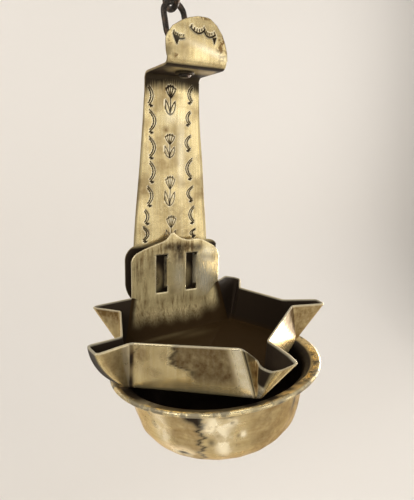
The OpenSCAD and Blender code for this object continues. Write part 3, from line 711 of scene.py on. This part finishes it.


# Dark patina in ragged streaks below the shelf's bend, and painted shade on the shelf's underside, in the fold below
# the crest and on the plate behind the shield
flat_x, flat_y, flat_z = strip.reshape(-1, 3).T
bend_foot, crest_foot = strap_y - bend_mid, shelf_z + crest_bend
ragged = 2.2 + 3.6 * np.abs(flat_x / strap_half) ** 3 + 0.7 * np.sin(5.3 * flat_x) + 0.7 * np.sin(11.7 * flat_x + 1)
below_bend = ease(flat_z, bend_z - ragged - 2.6, bend_z - ragged + 3.4) * (flat_y > bend_foot)
# Painted shade under the shelf and in the fold below the crest's face, darker towards the strap and towards both sides
on_shelf = (flat_y < bend_foot + near_by) & (flat_y > crest_y + near_by) & (flat_z < crest_foot - near_by)
fold_line = ease(crest_foot - flat_z, 1.9, 2.9) * (1 - ease(flat_y, 25.0, 28.0))
under_shelf = (0.45 + 0.5 * ease(flat_y, 32, 44) + 0.4 * ease(-flat_x, 6, 13)
               + 0.5 * ease(flat_x + 0.3 * (27 - flat_y), 11, 14))
under_shelf = np.where(flat_z < shelf_z + near_by, under_shelf, 0)
shelf_shade = on_shelf * np.clip(np.maximum(under_shelf, fold_line), 0, 1)
# Painted shade on the plate behind the shield, with painted pools of light left where light falls through the slots
lit_patch = spots(flat_x, flat_z, [(-9, 27, 3, 5.5, 1), (8.6, 27, 3, 5.5, 0.6)])
shade_behind_shield = (1 - ease(flat_z, 43.5, 48.5 + 0.04 * flat_x)) * (1 - np.clip(1.5 * lit_patch, 0, 1))
rear_dark = 0.45 - 0.35 * ease(flat_z, 20, 75)
patina_and_shade = np.maximum(np.maximum(0.82 * below_bend, 0.96 * shelf_shade), 0.92 * shade_behind_shield)
oxide_and_shade = np.maximum(ease(stamp, 0.10, 0.60), patina_and_shade)

# Stains, painted highlights and pits on the front: (x, z, half width, half height, share)
on_face, on_front = flat_y > strap_y - 2, flat_y < crest_y + 4
front_spots = functools.partial(spots, flat_x, flat_z)
strap_stain = on_face * front_spots([
    (-14.8, 53.5, 2.6, 3.6, 0.8), (-3.6, 106, 2.2, 2, 0.75), (-7, 99, 5, 9, 0.35),
    (-9, 82, 6, 10, 0.3), (-5, 62, 9, 8, 0.3), (9, 90, 4, 16, 0.3),
    (4, 52, 10, 5, 0.55), (2, 88, 6, 4, 0.25), (2, 66, 12, 12, 0.22)])
strap_stain += on_front * front_spots([
    (11.5, 145, 2.5, 7, 0.65), (-12.5, 140, 1.6, 5, 0.4), (3, 152, 8, 1.6, 0.5),
    (-6, 136.5, 1.5, 0.9, 0.8), (-11, 136, 1.6, 1.2, 0.7)])
# Painted highlights: a slanting band across the crest above its lower bend, a long strip and a spot on the strap
strap_highlight_and_wear = on_front * spots(flat_x, flat_z + 0.28 * flat_x, [(6, 141.3, 10, 1.6, 0.6)])
strap_highlight_and_wear += on_face * front_spots([(5, 95, 2.2, 18, 0.5), (-1, 112, 4, 3, 0.4)])
# The metal pushed up beside each stamp is rubbed pale
strap_highlight_and_wear += 0.9 * band(stamp, 0.0005, 0.008, 0.02, 0.10) * (1 - patina_and_shade)
strap_pits = on_front * front_spots([
    (11.5, 142.5, 3, 7.5, 1.2), (-10.8, 136.2, 1.8, 1.1, 1.2), (-6.5, 136.4, 2.2, 0.7, 1.2),
    (2, 153, 9, 1, 1), (-13, 142, 1.2, 5, 0.9)])
none = np.zeros(len(stamp))
strap_points, strap_faces, strap_marks = sheet_metal(
    strip.reshape(-1, 3), strip_quads, strap_t, stamp_depth * stamp,
    {"oxide_and_shade": (oxide_and_shade, rear_dark), "stain": (np.clip(strap_stain, 0, 1), rear_dark),
     "highlight_and_wear": (np.clip(strap_highlight_and_wear, 0, 1), none), "pit": (np.clip(strap_pits, 0, 1), none)}, strap_bulge)

strap_brass, strap_skin, here = brass_material("strap_brass")
streaks = brush(here, 1.1, 1.1, 0.045)
stained = times(mark(here, "stain"), plus(cloud(here, 2.0, 0.30, 0.45), 0.4), True)
pitted = times(mark(here, "pit"), cloud(here, 1.7, 0.47, 0.06))
smudged = larger(times(cloud(here, 15.0, 0.44, 0.24), 0.75), larger(stained, pitted))
# The sheet's edges are darkened as a painted shadow line along them
dark = larger(mark(here, "oxide_and_shade"), times(mark(here, "edge"), 0.45))
finish_brass(strap_skin, [streaks, smudged, dark, mark(here, "highlight_and_wear"), 0.0, 0.22], streaks, 0.02)
strap = make_mesh("stamped_strap", strap_points, strap_faces, strap_brass, strap_marks)
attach(strap, "lamp")
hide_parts("back_strap")

# Drip bowl
# Sheet brass raised into a round bowl with a slightly dented belly, a flat flange and a rolled bead round the rim.
# Sooty inside and painted darker there for the shade under the pan, it catches what the wick spills; the strap's tail
# is riveted to its wall.
bowl_sides, flange_low = 288, -3.0
corner_mid, corner_r, inner_r, slope, wall_top = (20.83, -17.0), 18.0, 17.0, 12, 42.0
outer_corner, inner_corner = arc(corner_mid, corner_r, -90, -slope, 40), arc(corner_mid, inner_r, -slope, -90, 40)
outer_profile = np.concatenate([
    np.linspace((0, -35), (20.83, -35), 26), outer_corner[1:], np.linspace(outer_corner[-1], (41.9, -4.9), 30)[1:],
    bow((41.9, -4.9), (42.2, -2.9), (44.4, -2.1), 10)[1:], np.linspace((44.4, -2.1), (47, -1.2), 4)[1:],
    arc((48, -1), 1, 180, 450, 16)[1:]])
inner_profile = np.concatenate([
    np.linspace((48, 0), (44.1, -1.2), 5)[1:], bow((44.1, -1.2), (41.3, -2.0), (40.9, -4.8), 12)[1:],
    np.linspace((40.9, -4.8), inner_corner[0], 30)[1:], inner_corner[1:], np.linspace((20.83, -34), (0, -34), 26)[1:]])
bowl_points, bowl_faces = turned(np.concatenate([outer_profile, inner_profile]), bowl_sides)
bowl_z, bowl_a = bowl_points[:, 2], np.arctan2(bowl_points[:, 1], bowl_points[:, 0])
bowl_r, bowl_deg = np.hypot(bowl_points[:, 0], bowl_points[:, 1]), np.degrees(bowl_a)
# Dents: (angle in degrees, height, reach round, reach up, depth), pressed in along the radius
dents = [(-143, -26.5, 9, 3, 1.4), (-108.5, -9.3, 2.2, 1.5, 0.6), (-103, -16.3, 1.8, 1.6, 0.5),
         (-117, -13, 5, 3, 0.5), (-92, -20, 9, 6, 0.5), (-150, -16, 8, 6, 0.5), (-70, -24, 9, 5, 0.7),
         (20, -20, 12, 7, 0.6), (100, -26, 10, 6, 0.5)]
pressed_in = 0.20 * np.sin(9 * bowl_a + bowl_z / 3.1) * np.sin(14 * bowl_a - bowl_z / 2.3)
for angle, height, reach_round, reach_up, depth in dents:
    round_by = wall_top * np.angle(np.exp(1j * (bowl_a - math.radians(angle))))
    pressed_in += depth * bell(round_by, 0, reach_round) * bell(bowl_z, height, reach_up)
pressed_in *= ease(-bowl_z, 3, 8) * np.minimum(bowl_r / 20, 1)
bowl_points[:, :2] *= (1 - pressed_in / np.maximum(bowl_r, 1e-6))[:, None]
# The inside is painted dark for soot and for the pan's shade, and the dark climbs on to the inner half of the flange on
# the right
outer_rows, lip_rows = len(outer_profile) - 1, 8
flange_top, inside = np.zeros(len(bowl_points)), np.zeros(len(bowl_points))
flange_top[outer_rows * bowl_sides:-2] = 1
inside[(outer_rows + lip_rows) * bowl_sides:-2] = 1
inside[-1] = 1
soot_and_shade_r = 42.6 + 2.4 * (1 - ease(np.abs(bowl_deg - 5), 50, 85))
inside = np.maximum(inside, flange_top * (1 - ease(bowl_r, soot_and_shade_r - 0.3, soot_and_shade_r + 0.3)))
edge_mark = bell(bowl_r, 48.6, 0.7) * (bowl_z > -2.2)
# Stains: a brown patch with a jagged side, an olive side and blotches on the flange, and a dark spot under the flange
# that is painted shade
on_flange, below_rim = bowl_z > flange_low, ease(-bowl_z, 4, 6)
jag = -126.5 + 1.6 * np.sin(1.1 * bowl_z) + 1.1 * np.sin(2.7 * bowl_z + 1) + 0.15 * (bowl_z + 15)
ragged_side = -149 + 2.5 * np.sin(0.9 * bowl_z + 1) + 1.5 * np.sin(2.3 * bowl_z)
brown_patch = band(bowl_deg, ragged_side - 4, ragged_side + 4, jag - 0.5, jag + 0.5) * below_rim
olive_side = band(bowl_deg, -103, -88, -10, 30) * ease(-bowl_z, 4, 7)
flange_dark = 0.70 * (1 - ease(bowl_deg, -95, -75)) * on_flange * (1 - ease(bowl_r, 46.2, 47.4))
flange_film = (0.9 - 0.75 * ease(bowl_deg, -95, -60)) * on_flange * (bowl_r < 48.0)
grey_side = 0.60 * band(bowl_deg, jag - 0.5, jag + 0.5, -10, 30) * below_rim
bowl_stain = np.clip(0.95 * brown_patch + 0.40 * olive_side + grey_side + flange_film, 0, 1) * (1 - inside)
jag_line = bell(bowl_deg, jag, 1.5) * band(-bowl_z, 4, 6, 27, 32)
# Dark spots are stains on the flange and the sides, and painted shade in the dents and under the flange; bright spots
# are painted highlights on the dents and the belly: (degrees, height, half width, half height, share)
dark_spot = np.clip(spots(bowl_deg, bowl_z, [
    (-131.5, -6.5, 4.5, 2.4, 1), (-127.5, -9, 2, 3, 0.8), (-143, -27.4, 6, 1, 1),
    (-62, -12, 2.5, 5, 0.8), (-50, -20, 3, 5, 0.7), (-66, -30.5, 7, 1.4, 0.7),
    (-108.3, -9.5, 1, 0.6, 0.9), (-104.5, -16.5, 0.7, 0.9, 0.7), (-121, -18.5, 2, 1.6, 0.6),
    (-110, -6.5, 4, 0.6, 0.6), (-158, -14, 1.6, 1.6, 0.5), (-86, -1.5, 3, 1.5, 0.9),
    (-74, -1.5, 3.5, 1.5, 1), (-66, -1.2, 3, 1.5, 0.8), (-168, -1.5, 6, 1.5, 0.6),
    (-99, -1.5, 2.5, 1.5, 0.6)]), 0, 1)
bowl_dark = np.maximum(inside, np.clip(dark_spot + 0.8 * jag_line + flange_dark, 0, 1))
bowl_highlight = np.clip(spots(bowl_deg, bowl_z, [
    (-118, -9, 5.5, 4, 0.8), (-114, -19, 4.5, 9, 0.9), (-153, -15, 5, 11, 0.8),
    (-143, -26, 10, 3.2, 1.2), (-108.5, -9, 3, 2, 1.2), (-102, -16, 1.6, 1.6, 1.2),
    (-122, -13, 2.5, 2, 0.8)]), 0, 1) * (1 - inside) * (1 - dark_spot)

bowl_brass, bowl_skin, here = brass_material("bowl_brass")
mottle = cloud(here, 5.0, 0.32, 0.40)
stained = times(mark(here, "stain"), span(mottle, 0, 1, 0.40, 0.95), True)
smudged = larger(times(cloud(here, 16.0, 0.47, 0.20), 0.5), stained)
blotches = times(cloud(here, 6.0, 0.50, 0.08), times(mark(here, "blotch"), 0.7))
oxidised_and_shaded = larger(larger(times(cloud(here, 9.0, 0.60, 0.10), 0.5), mark(here, "oxide_and_shade")), blotches)
pale = times(mark(here, "highlight_and_wear"), plus(cloud(here, 6.0, 0.40, 0.12), 0.4), True)
bright = larger(times(mark(here, "edge"), 0.2), pale)
finish_brass(bowl_skin, [brush(here, 0.10, 0.10, 0.9), smudged, oxidised_and_shaded, bright, 0.0, 0.20], mottle, 0.10)
bowl = make_mesh("raised_bowl", on_bowl(bowl_points), bowl_faces, bowl_brass,
                 {"edge": edge_mark, "stain": bowl_stain, "oxide_and_shade": bowl_dark, "highlight_and_wear": bowl_highlight,
                  "blotch": on_flange * (1 - inside)})
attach(bowl, "lamp")
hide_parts("drip_bowl")

# Rivets
# Two brass rivets with round heads on both sides, hammered over through the tail and the bowl's wall.
# They alone carry the bowl.
rivet_r, rivet_head_r, rivet_head_h, rivet_z, rivet_angle, rivet_sides = 1.5, 2.9, 1.4, 13.0, 9, 48
rivet_out, rivet_in, wall_top_z = 1.4, 1.15, -4
dome = (rivet_head_r ** 2 + rivet_head_h ** 2) / (2 * rivet_head_h)
dome_end = math.degrees(math.acos((dome - rivet_head_h) / dome))
outer_head = arc((0, rivet_out + rivet_head_h - dome), dome, 90 - dome_end, 90, 12)
inner_head = arc((0, -rivet_in - rivet_head_h + dome), dome, -90, -90 + dome_end, 12)
rivet_profile = np.concatenate([inner_head, [(rivet_r, -rivet_in), (rivet_r, rivet_out)], outer_head])
rivet_profile[[0, -1], 0] = 0
rivet_points, rivet_faces = turned(rivet_profile, rivet_sides)
rivet_foot = [wall_top - (rivet_z + wall_top_z) * math.tan(math.radians(slope)), 0, -rivet_z]
stood = rivet_points @ turn("y", 90 + slope).T + rivet_foot
rivets = [on_bowl(stood @ turn("z", 90 + angle).T) for angle in (-rivet_angle, rivet_angle)]
rivet_parts = rivet_faces + [part + len(rivet_points) for part in rivet_faces]
rivet_pair = make_mesh("hammered_rivets", np.concatenate(rivets), rivet_parts, small_brass)
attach(rivet_pair, "lamp")
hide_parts("bowl_rivets")

# Oil pan and its shield
# One sheet of brass: five walls folded up from the floor and pinched into spouts, the rear wall drawn up into an
# upright shield. Two slots are cut in it, and their tongues are bent back and hooked through the strap's slots.
pan_t, floor_mid, corner_cut, fold, pan_bulge = 1.0, 0.8, 2.0, 1.3, 0.6
shield_y, shield_x, shield_right, shield_left, side_width = 46.5, 1.5, 27.0, -24.0, 8
shield_low, right_low, left_low = 14.5, 22.3, 18.4
slot_x, slot_half, slot_low, slot_high = (10.25, -7.25), 3.5, 19.5, 41.0
tongue_reach, level_reach, tongue_slope = 6.6, 4.2, math.tan(math.radians(25))
tongue_first_row, tongue_last_row = 10, 31
floor_steps, fold_steps, wall_steps = 30, 7, 27
foot_steps, slot_steps, head_steps = 5, 28, 10
spout_columns, wall_columns, right_facet_columns = [72, 32, 38, 38, 32], [46, 38, 0, 38, 46], 13
# Floor corners and top edge, in the pan's leaning frame, turning to the left from the front spout
floor_corners = np.array([(-1.6, -45.0), (44.9, -6.2), (32.6, 39.2), (-32.6, 39.2), (-43.2, -4.6)])
front_lip = [(-5.9, -40.4, 20.5), (-2.6, -40.6, 17.3), (0.0, -41.2, 14.6), (-1.2, -44.6, 14.2), (-2.4, -48.7, 14.9),
             (-1.7, -53.6, 15.2), (-0.9, -59.0, 17.8), (-0.2, -63.4, 20.8), (0.3, -66.4, 23.0), (1.6, -60.5, 23.2),
             (3.4, -52.0, 22.4), (6.2, -40.2, 20.7)]
right_lip = [(39.3, -11.6, 20.5), (56.0, -15.0, 18.9), (57.6, -7.4, 18.9), (41.6, -1.2, 20.5)]
rear_right_lip = [(36.4, 32.6, 20.5), (45.8, 48.6, 20.7), (43.6, 51.6, 21.5), (36.5, 49.6, 24.0)]
rear_left_lip = [(-40.5, 51.5, 21.4), (-42.6, 49.0, 21.6), (-31.6, 36.4, 20.5)]
left_lip = [(-40.9, 1.2, 20.5), (-56.0, -0.6, 21.0), (-54.6, -10.6, 20.3), (-39.8, -7.9, 20.5)]
lips = [np.asarray(lip) @ lean.T for lip in (front_lip, right_lip, rear_right_lip, rear_left_lip, left_lip)]
lips[2] = np.concatenate([lips[2], [(shield_right, shield_y, right_low)]])
lips[3] = np.concatenate([[(shield_left, shield_y, left_low)], lips[3]])
corners = np.append(floor_corners, np.full((5, 1), floor_mid), 1) @ lean.T

# The shield's columns meet the slots' edges, and crowd towards its two sides
crowd = np.linspace(0, 1, 25) ** 1.5
edge_a, edge_b, edge_c, edge_d = (x + side * slot_half for x in slot_x for side in (1, -1))
shield_columns = np.concatenate([
    shield_right - (shield_right - edge_a) * crowd, np.linspace(edge_a, edge_b, 13)[1:],
    np.linspace(edge_b, edge_c, 19)[1:], np.linspace(edge_c, edge_d, 13)[1:],
    (shield_left + (edge_d - shield_left) * crowd[::-1])[1:]])
from_side = np.minimum(shield_right - shield_columns, shield_columns - shield_left)
side_foot = np.where(shield_columns > shield_x, right_low, left_low)
shield_foot = shield_low + (side_foot - shield_low) * (1 - ease(from_side, 0, side_width))

floor_line, top_line, upright = [], [], []
for k, (corner, following, lip, next_lip) in enumerate(
        zip(corners, np.roll(corners, -1, 0), lips, lips[1:] + lips[:1])):
    to_next, to_last = unit(following - corner), unit(corners[k - 1] - corner)
    before, after = corner + corner_cut * to_last, corner + corner_cut * to_next
    floor_line.append(bow(before, corner, after, spout_columns[k] + 1)[:-1])
    top_line.append(along(lip, spout_columns[k] + 1)[:-1])
    upright.append(np.zeros(spout_columns[k]))
    if wall_columns[k]:
        share = np.linspace(0, 1, wall_columns[k] + 1)[:-1]
        top_line.append(lip[-1] + share[:, None] * (next_lip[0] - lip[-1]))
        upright.append(np.zeros(wall_columns[k]))
    else:
        share = (shield_right - shield_columns[:-1]) / (shield_right - shield_left)
        top_line.append(xyz(shield_columns, shield_y, shield_foot)[:-1])
        upright.append(ease(from_side[:-1], 0, side_width))
    floor_line.append(after + share[:, None] * (following - corner_cut * to_next - after))
first_shield = sum(len(part) for part in floor_line[:5])
floor_line, top_line, upright = (np.concatenate(part) for part in (floor_line, top_line, upright))
pan_columns = len(top_line)


def softened(values):
    """Running mean (1, 2, 1) / 4 along a closed line."""
    return (np.roll(values, 1, 0) + 2 * values + np.roll(values, -1, 0)) / 4


top_line = softened(softened(top_line))
pan_middle = corners.mean(0)
# The rear wall is drawn up into the upright shield, the other walls stay straight
bent = (floor_line + top_line) / 2
bent[:, 1] += upright * (top_line[:, 1] - bent[:, 1])
# The left spout's nose is round: its middle stands out to the left, most at its far corner
left_start = pan_columns - wall_columns[4] - spout_columns[4]
nose_at = np.linspace(0, 1, spout_columns[4])
nose_out = np.interp(nose_at, [0, 0.36, 0.64, 1], [0, 1, 0.5, 0])[:, None] * np.array([-7.0, -1.0, -2.0])
bent[left_start:left_start + spout_columns[4]] += nose_out
floor_edge, wall_foot = floor_line + fold * unit(pan_middle - floor_line), floor_line + fold * unit(bent - floor_line)
floor_share = np.linspace(0.03, 1, floor_steps)[:, None, None]
pan_grid = np.concatenate([pan_middle + floor_share * (floor_edge - pan_middle),
                           bow(floor_edge, floor_line, wall_foot, fold_steps + 1)[1:],
                           bow(wall_foot, bent, top_line, wall_steps + 1)[1:]])
pan_rows, wall_first = len(pan_grid), floor_steps + fold_steps
centre_id = pan_rows * pan_columns
shield_first = centre_id + 1

# Shield rows: up to the slots, along the slots and over them to the ogee outline with its point left of the middle
shield_top = np.interp(
    shield_columns,
    [-24.4, -24.1, -23.4, -22.3, -20.8, -17.2, -12.8, -9.0, -6.4, -4.6, -2.9, -1.8, -1.0, -0.2, 0.9, 2.5, 4.6, 7.3,
     10.5, 13.7, 16.5, 18.7, 21.5, 23.6, 25.2, 26.3, 27.0],
    [35.5, 38.0, 39.8, 41.3, 42.5, 44.2, 45.8, 47.0, 47.8, 48.8, 50.5, 51.9, 52.7, 52.1, 51.1, 49.9, 48.8, 48.1,
     48.0, 48.3, 47.6, 46.4, 44.9, 43.6, 42.0, 40.4, 37.5])
levels = [shield_foot, np.maximum(slot_low, shield_foot + 1.0), np.minimum(slot_high, shield_top - 1.2), shield_top]
shield_z = np.concatenate([np.linspace(low, high, steps + 1)[1:] for low, high, steps in
                           zip(levels, levels[1:], (foot_steps, slot_steps, head_steps))])

# The shield's first row is the rear wall's top edge; the floor's middle is closed by quads that share one point
foot_ids = centre_id - pan_columns + first_shield + np.arange(len(shield_columns))
shield_ids = shield_first + np.arange(shield_z.size).reshape(shield_z.shape)
shield_ids = np.concatenate([foot_ids[None], shield_ids])
cell_x = (shield_columns[1:] + shield_columns[:-1]) / 2
in_slot = np.zeros((len(shield_z), len(cell_x)), bool)
in_slot[foot_steps:foot_steps + slot_steps] = np.any([np.abs(cell_x - x) < slot_half for x in slot_x], 0)
even = np.arange(0, pan_columns, 2)
pan_cap = np.stack([np.full(len(even), centre_id), (even + 2) % pan_columns, (even + 1) % pan_columns, even], 1)
pan_points = [pan_grid, pan_middle, xyz(shield_columns, shield_y, shield_z)]
pan_quads = [grid_faces(pan_rows, pan_columns, 0, 1), quads_of(shield_ids)[~in_slot.ravel()]]

# Tongues: the slots' sheet, bent back along its right edge and sloping down to the rear
reach = np.linspace(0, tongue_reach, 14)[1:]
tongue_first = next_id = shield_first + shield_z.size
for x in tongue_x:
    column = int(np.argmin(np.abs(shield_columns - x)))
    root = shield_z[tongue_first_row - 1:tongue_last_row - 1, column, None]
    # The lower edge slopes down from its root, the upper edge only from behind the strap
    level = level_reach * np.linspace(0, 1, len(root))[:, None]
    drop = tongue_slope * np.clip(reach - level, 0, None)
    pan_points.append(xyz(x, shield_y + reach, root - drop))
    ids = next_id + np.arange(drop.size).reshape(drop.shape)
    ids = np.concatenate([shield_ids[tongue_first_row:tongue_last_row, column, None], ids], 1)
    pan_quads.append(quads_of(ids))
    next_id += drop.size
pan_points = np.concatenate([part.reshape(-1, 3) for part in pan_points])
pan_quads = np.concatenate(pan_quads + [pan_cap])


def columns(first, values, others=0.0):
    """A row with one number for each column of the pan: values from a first column on, and others."""
    made = np.full(pan_columns, others)
    made[first:first + len(values)] = values
    return made


def pan_mark(walls, shield=0.0, tongues=None, middle=0.0):
    """Mark on all the pan's points from its parts: the walls' and floor's grid, the middle, the shield, the tongues."""
    made = np.zeros(len(pan_points))
    made[:centre_id] = np.broadcast_to(walls, (pan_rows, pan_columns)).ravel()
    made[centre_id] = middle
    made[shield_first:] = shield
    if tongues is not None:
        made[tongue_first:] = tongues
    return made


def on_rear(value, others=0.0):
    """Mark of the walls and floor that has a value under the shield, and others."""
    made = np.full((pan_rows, pan_columns), others, float)
    made[:, rear] = value
    return made


def soot_free(points):
    """Share of the rear that soot leaves free: eased over 12 mm of height from a wavy line that climbs to the right."""
    line = 1.0 + 0.35 * np.clip(points[..., 0] - 12, 0, None) + 0.6 * np.sin(0.7 * points[..., 0] + 1)
    return ease(points[..., 2], line, line + 12)


# Soot lies all over the inside and thins out up the shield and the walls; on the floor along the foot of the shield it
# is thinned to paint a sheen
sooty_rows, fading_rows = 33, 8
rear = first_shield + np.arange(len(shield_columns) - 1)
shield_point, rear_point = pan_points[shield_first:], pan_grid[:, rear]
to_rear, wall_only = ease(from_side[:-1], 0, 4), (np.arange(pan_rows) >= wall_first)[:, None]
wall_soot = np.concatenate([np.ones(sooty_rows), np.linspace(1, 0, fading_rows),
                            np.zeros(pan_rows - sooty_rows - fading_rows)])
soot = on_rear(1 - to_rear * soot_free(rear_point) * wall_only, wall_soot[:, None])
foot_y = rear_point[sooty_rows, :, 1].mean()
# A painted sheen on the floor along the shield's foot, where the soot is thinned
soot[:sooty_rows] -= 0.10 * spots(pan_grid[:sooty_rows, :, 0], pan_grid[:sooty_rows, :, 1], [
    (-8.0, foot_y - 3.0, 14.0, 2.5, 1.0), (6.0, foot_y - 9.0, 9.0, 3.0, 0.5)])

# Stains outside: a dark olive field with a ragged side on the front left wall, a stain with a painted dark reflection
# in it, and a dark pleat by the front spout, its crease and valley painted shade and its foot a painted pool of light
wall_at = columns(pan_columns - wall_columns[4], np.linspace(0, 1, wall_columns[4] + 1)[:-1], -1.0)
pleat_at = columns(0, np.linspace(0, 1, spout_columns[0] + 1)[:-1], 2.0)
up_wall = np.append(np.zeros(wall_first), np.linspace(0, 1, wall_steps + 1)[1:])[:, None]
left_side = np.interp(up_wall, [0, 0.2, 0.42, 0.5, 0.58, 0.7, 0.85, 1],
                      [0.56, 0.55, 0.54, 0.47, 0.38, 0.37, 0.40, 0.42])
left_side = left_side + 0.012 * np.sin(31 * up_wall) + 0.008 * np.sin(57 * up_wall + 1)
olive_stain_and_reflection = band(wall_at, left_side - 0.02, left_side + 0.02, 0.84, 0.95) * ease(up_wall, 0.02, 0.35)
brown_edge = bell(wall_at, left_side, 0.03) * ease(up_wall, 0.2, 0.5)
corner_mark = (1 - ease(wall_at, 0.02, 0.05)) * (wall_at >= 0) * (0.8 + 0.2 * np.sin(11 * up_wall + 1))
scratch = bell(wall_at, 0.07 + 0.05 * np.sin(7 * up_wall), 0.008) * ease(up_wall, 0.45, 0.6)
gold_film = (wall_at >= 0) * spots(wall_at, up_wall, [
    (0.1, 0.75, 0.1, 0.25, 0.7), (0.22, 0.35, 0.1, 0.15, 0.4), (0.3, 0.8, 0.05, 0.2, 0.4)])
crease_shade, nose_line = bell(pleat_at, 0.012, 0.016), bell(pleat_at, 0.570, 0.014)
olive_strip, near_facet = band(pleat_at, 0.02, 0.04, 0.17, 0.20), band(pleat_at, 0.43, 0.47, 0.53, 0.56)
valley_shade = band(pleat_at, 0.18, 0.22, 0.31, 0.42) * ease(up_wall + 0.8 * (pleat_at - 0.3), 0.22, 0.48)
lit_fold = band(pleat_at, 0.19, 0.23, 0.40, 0.46) * (1 - ease(up_wall, 0.20, 0.48))
outer_stain_and_reflection = np.clip(0.75 * olive_stain_and_reflection + 0.7 * olive_strip + 0.6 * near_facet + 0.8 * corner_mark + gold_film, 0, 1)
outer_oxide_and_shade = np.clip(0.5 * brown_edge + 0.38 * olive_stain_and_reflection + 0.9 * crease_shade + 0.95 * valley_shade + 0.85 * corner_mark
                      + 0.5 * scratch, 0, 1)
# Painted highlights on the front left wall's end, the pleat's foot and the front spout's keel line
outer_highlight = np.clip(ease(wall_at, 0.86, 0.97) + lit_fold + nose_line, 0, 1)
# A film lies on the front right wall beside the right spout, further along at the top, and on the spouts' facets
right_start, rear_left_start = spout_columns[0] + wall_columns[0], first_shield + len(shield_columns) - 1
right_facet = columns(right_start, np.ones(right_facet_columns))
right_along = columns(spout_columns[0], np.linspace(0, 1, wall_columns[0]))
right_film = ease(right_along + 0.03 * np.sin(40 * up_wall) + 0.50 * (up_wall - 1), 0.42, 0.58)
left_nose = columns(left_start, band(nose_at, 0.30, 0.36, 0.60, 0.65))
left_facet = columns(left_start, ease(nose_at, 0.62, 0.68))
left_fold = columns(left_start, ease(nose_at, 0.90, 0.95))
rear_left_facet = columns(rear_left_start, ease(np.linspace(0, 1, spout_columns[3]), 0.60, 0.66))
facet_film = 0.5 * left_facet + rear_left_facet * (0.45 + 0.55 * ease(up_wall, 0.6, 0.95))
outer_stain_and_reflection = np.maximum(np.maximum(outer_stain_and_reflection, 0.7 * right_facet + 0.95 * right_film), facet_film)
outer_oxide_and_shade = np.maximum(np.maximum(outer_oxide_and_shade, 0.45 * right_film), 0.85 * left_nose)
# A painted highlight on the left spout's fold
outer_highlight = np.maximum(outer_highlight, 0.5 * left_fold)

# Film, painted highlights and patina on the shield and the rear wall: (x, z, half width, half height, share)
film_spots = [(1, 45.5, 11, 3, 0.7), (2.5, 39, 4, 4.5, 0.6), (-20, 30, 7, 18, 0.35),
              (10.5, 42.8, 4.5, 2.2, 0.6), (22, 37, 5, 2.5, 0.5), (-14, 40, 6, 4, 0.25),
              (-4, 15, 24, 3, 0.25)]
# Painted highlights on the shield's middle and right side
highlight_spots = [(3, 28, 3, 7, 0.6), (19, 28, 6, 10, 1.2), (21, 41, 4, 2, 0.6)]
patina_spots = [(0.5, 44.6, 9, 2.4, 0.6), (3, 39.5, 3.4, 4.5, 0.6), (13.5, 43.2, 4, 2, 0.55),
                (-12.5, 38, 2, 5, 0.35), (18, 38, 4, 2, 0.5), (-21, 33, 4, 7, 0.3),
                (-2, 20, 3, 3, 0.25)]
tongue_dark, outer_satin, inner_satin, tongue_edge = 0.7, 0.22, 0.9, 0.2


def shield_film(points):
    """Share of brown film at points of the shield: a level, its spots, and more of it near the floor."""
    x, z = points[..., 0], points[..., 2]
    return np.clip(0.08 + spots(x, z, film_spots) + 0.3 * (1 - ease(z, 6, 20)), 0, 1)


shield_px, shield_pz = shield_point[:, 0], shield_point[:, 2]
shield_oxide, shield_highlight = (np.clip(spots(shield_px, shield_pz, table), 0, 1) for table in (patina_spots, highlight_spots))
shield_satin = inner_satin - 0.55 * ease(shield_pz + 0.4 * shield_px, 18, 42)
clean = np.zeros(len(pan_points))
pan_points, pan_faces, pan_marks = sheet_metal(pan_points, pan_quads, pan_t, clean, {
    "soot": (clean, pan_mark(soot, 0.95 * (1 - soot_free(shield_point)), middle=1)),
    "stain": (pan_mark(outer_stain_and_reflection), pan_mark(on_rear(wall_only * to_rear * shield_film(rear_point)),
                                              shield_film(shield_point))),
    "oxide_and_shade": (pan_mark(outer_oxide_and_shade, 0, tongue_dark), pan_mark(on_rear(1 - to_rear, 1), shield_oxide, tongue_dark)),
    "highlight_and_wear": (pan_mark(outer_highlight), pan_mark(0, shield_highlight)),
    "streak": (clean, pan_mark(on_rear(wall_only * to_rear), 1)),
    "satin": (clean + outer_satin, pan_mark(inner_satin, shield_satin, middle=inner_satin))}, pan_bulge)
# The tongues' edges are dull
on_tongue = (np.abs(pan_points[:, 0]) < 20) & (pan_points[:, 1] > shield_y + 0.8)
pan_marks["edge"] = np.where(on_tongue, tongue_edge, pan_marks["edge"])

pan_brass, pan_skin, here = brass_material("pan_brass")
rub_marks, fine_marks = brush(here, 0.9, 0.9, 0.06), brush(here, 2.2, 2.2, 0.12)
mottle, speckle, streak = cloud(here, 14.0, 0.48, 0.22), cloud(here, 3.0, 0.25, 0.45), mark(here, "streak")
streaky = times(streak, plus(span(rub_marks, 0, 1, 0.40, -0.42), span(fine_marks, 0, 1, 0.45, -0.45)))
stained = plus(times(mark(here, "stain"), plus(speckle, 0.45)), streaky, True)
smudged = larger(times(mottle, 0.5), stained)
bright = larger(times(mark(here, "edge"), 0.38), times(mark(here, "highlight_and_wear"), plus(speckle, 0.35), True))
broken = plus(times(streak, maths("SUBTRACT", speckle, 0.6)), 1.0)
dark = times(mark(here, "oxide_and_shade"), broken, True)
finish_brass(pan_skin, [rub_marks, smudged, dark, bright, mark(here, "soot"), mark(here, "satin")], mottle, 0.05)
pan = make_mesh("folded_pan", pan_points, pan_faces, pan_brass, pan_marks)
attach(pan, "pan")
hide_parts("oil_pan")
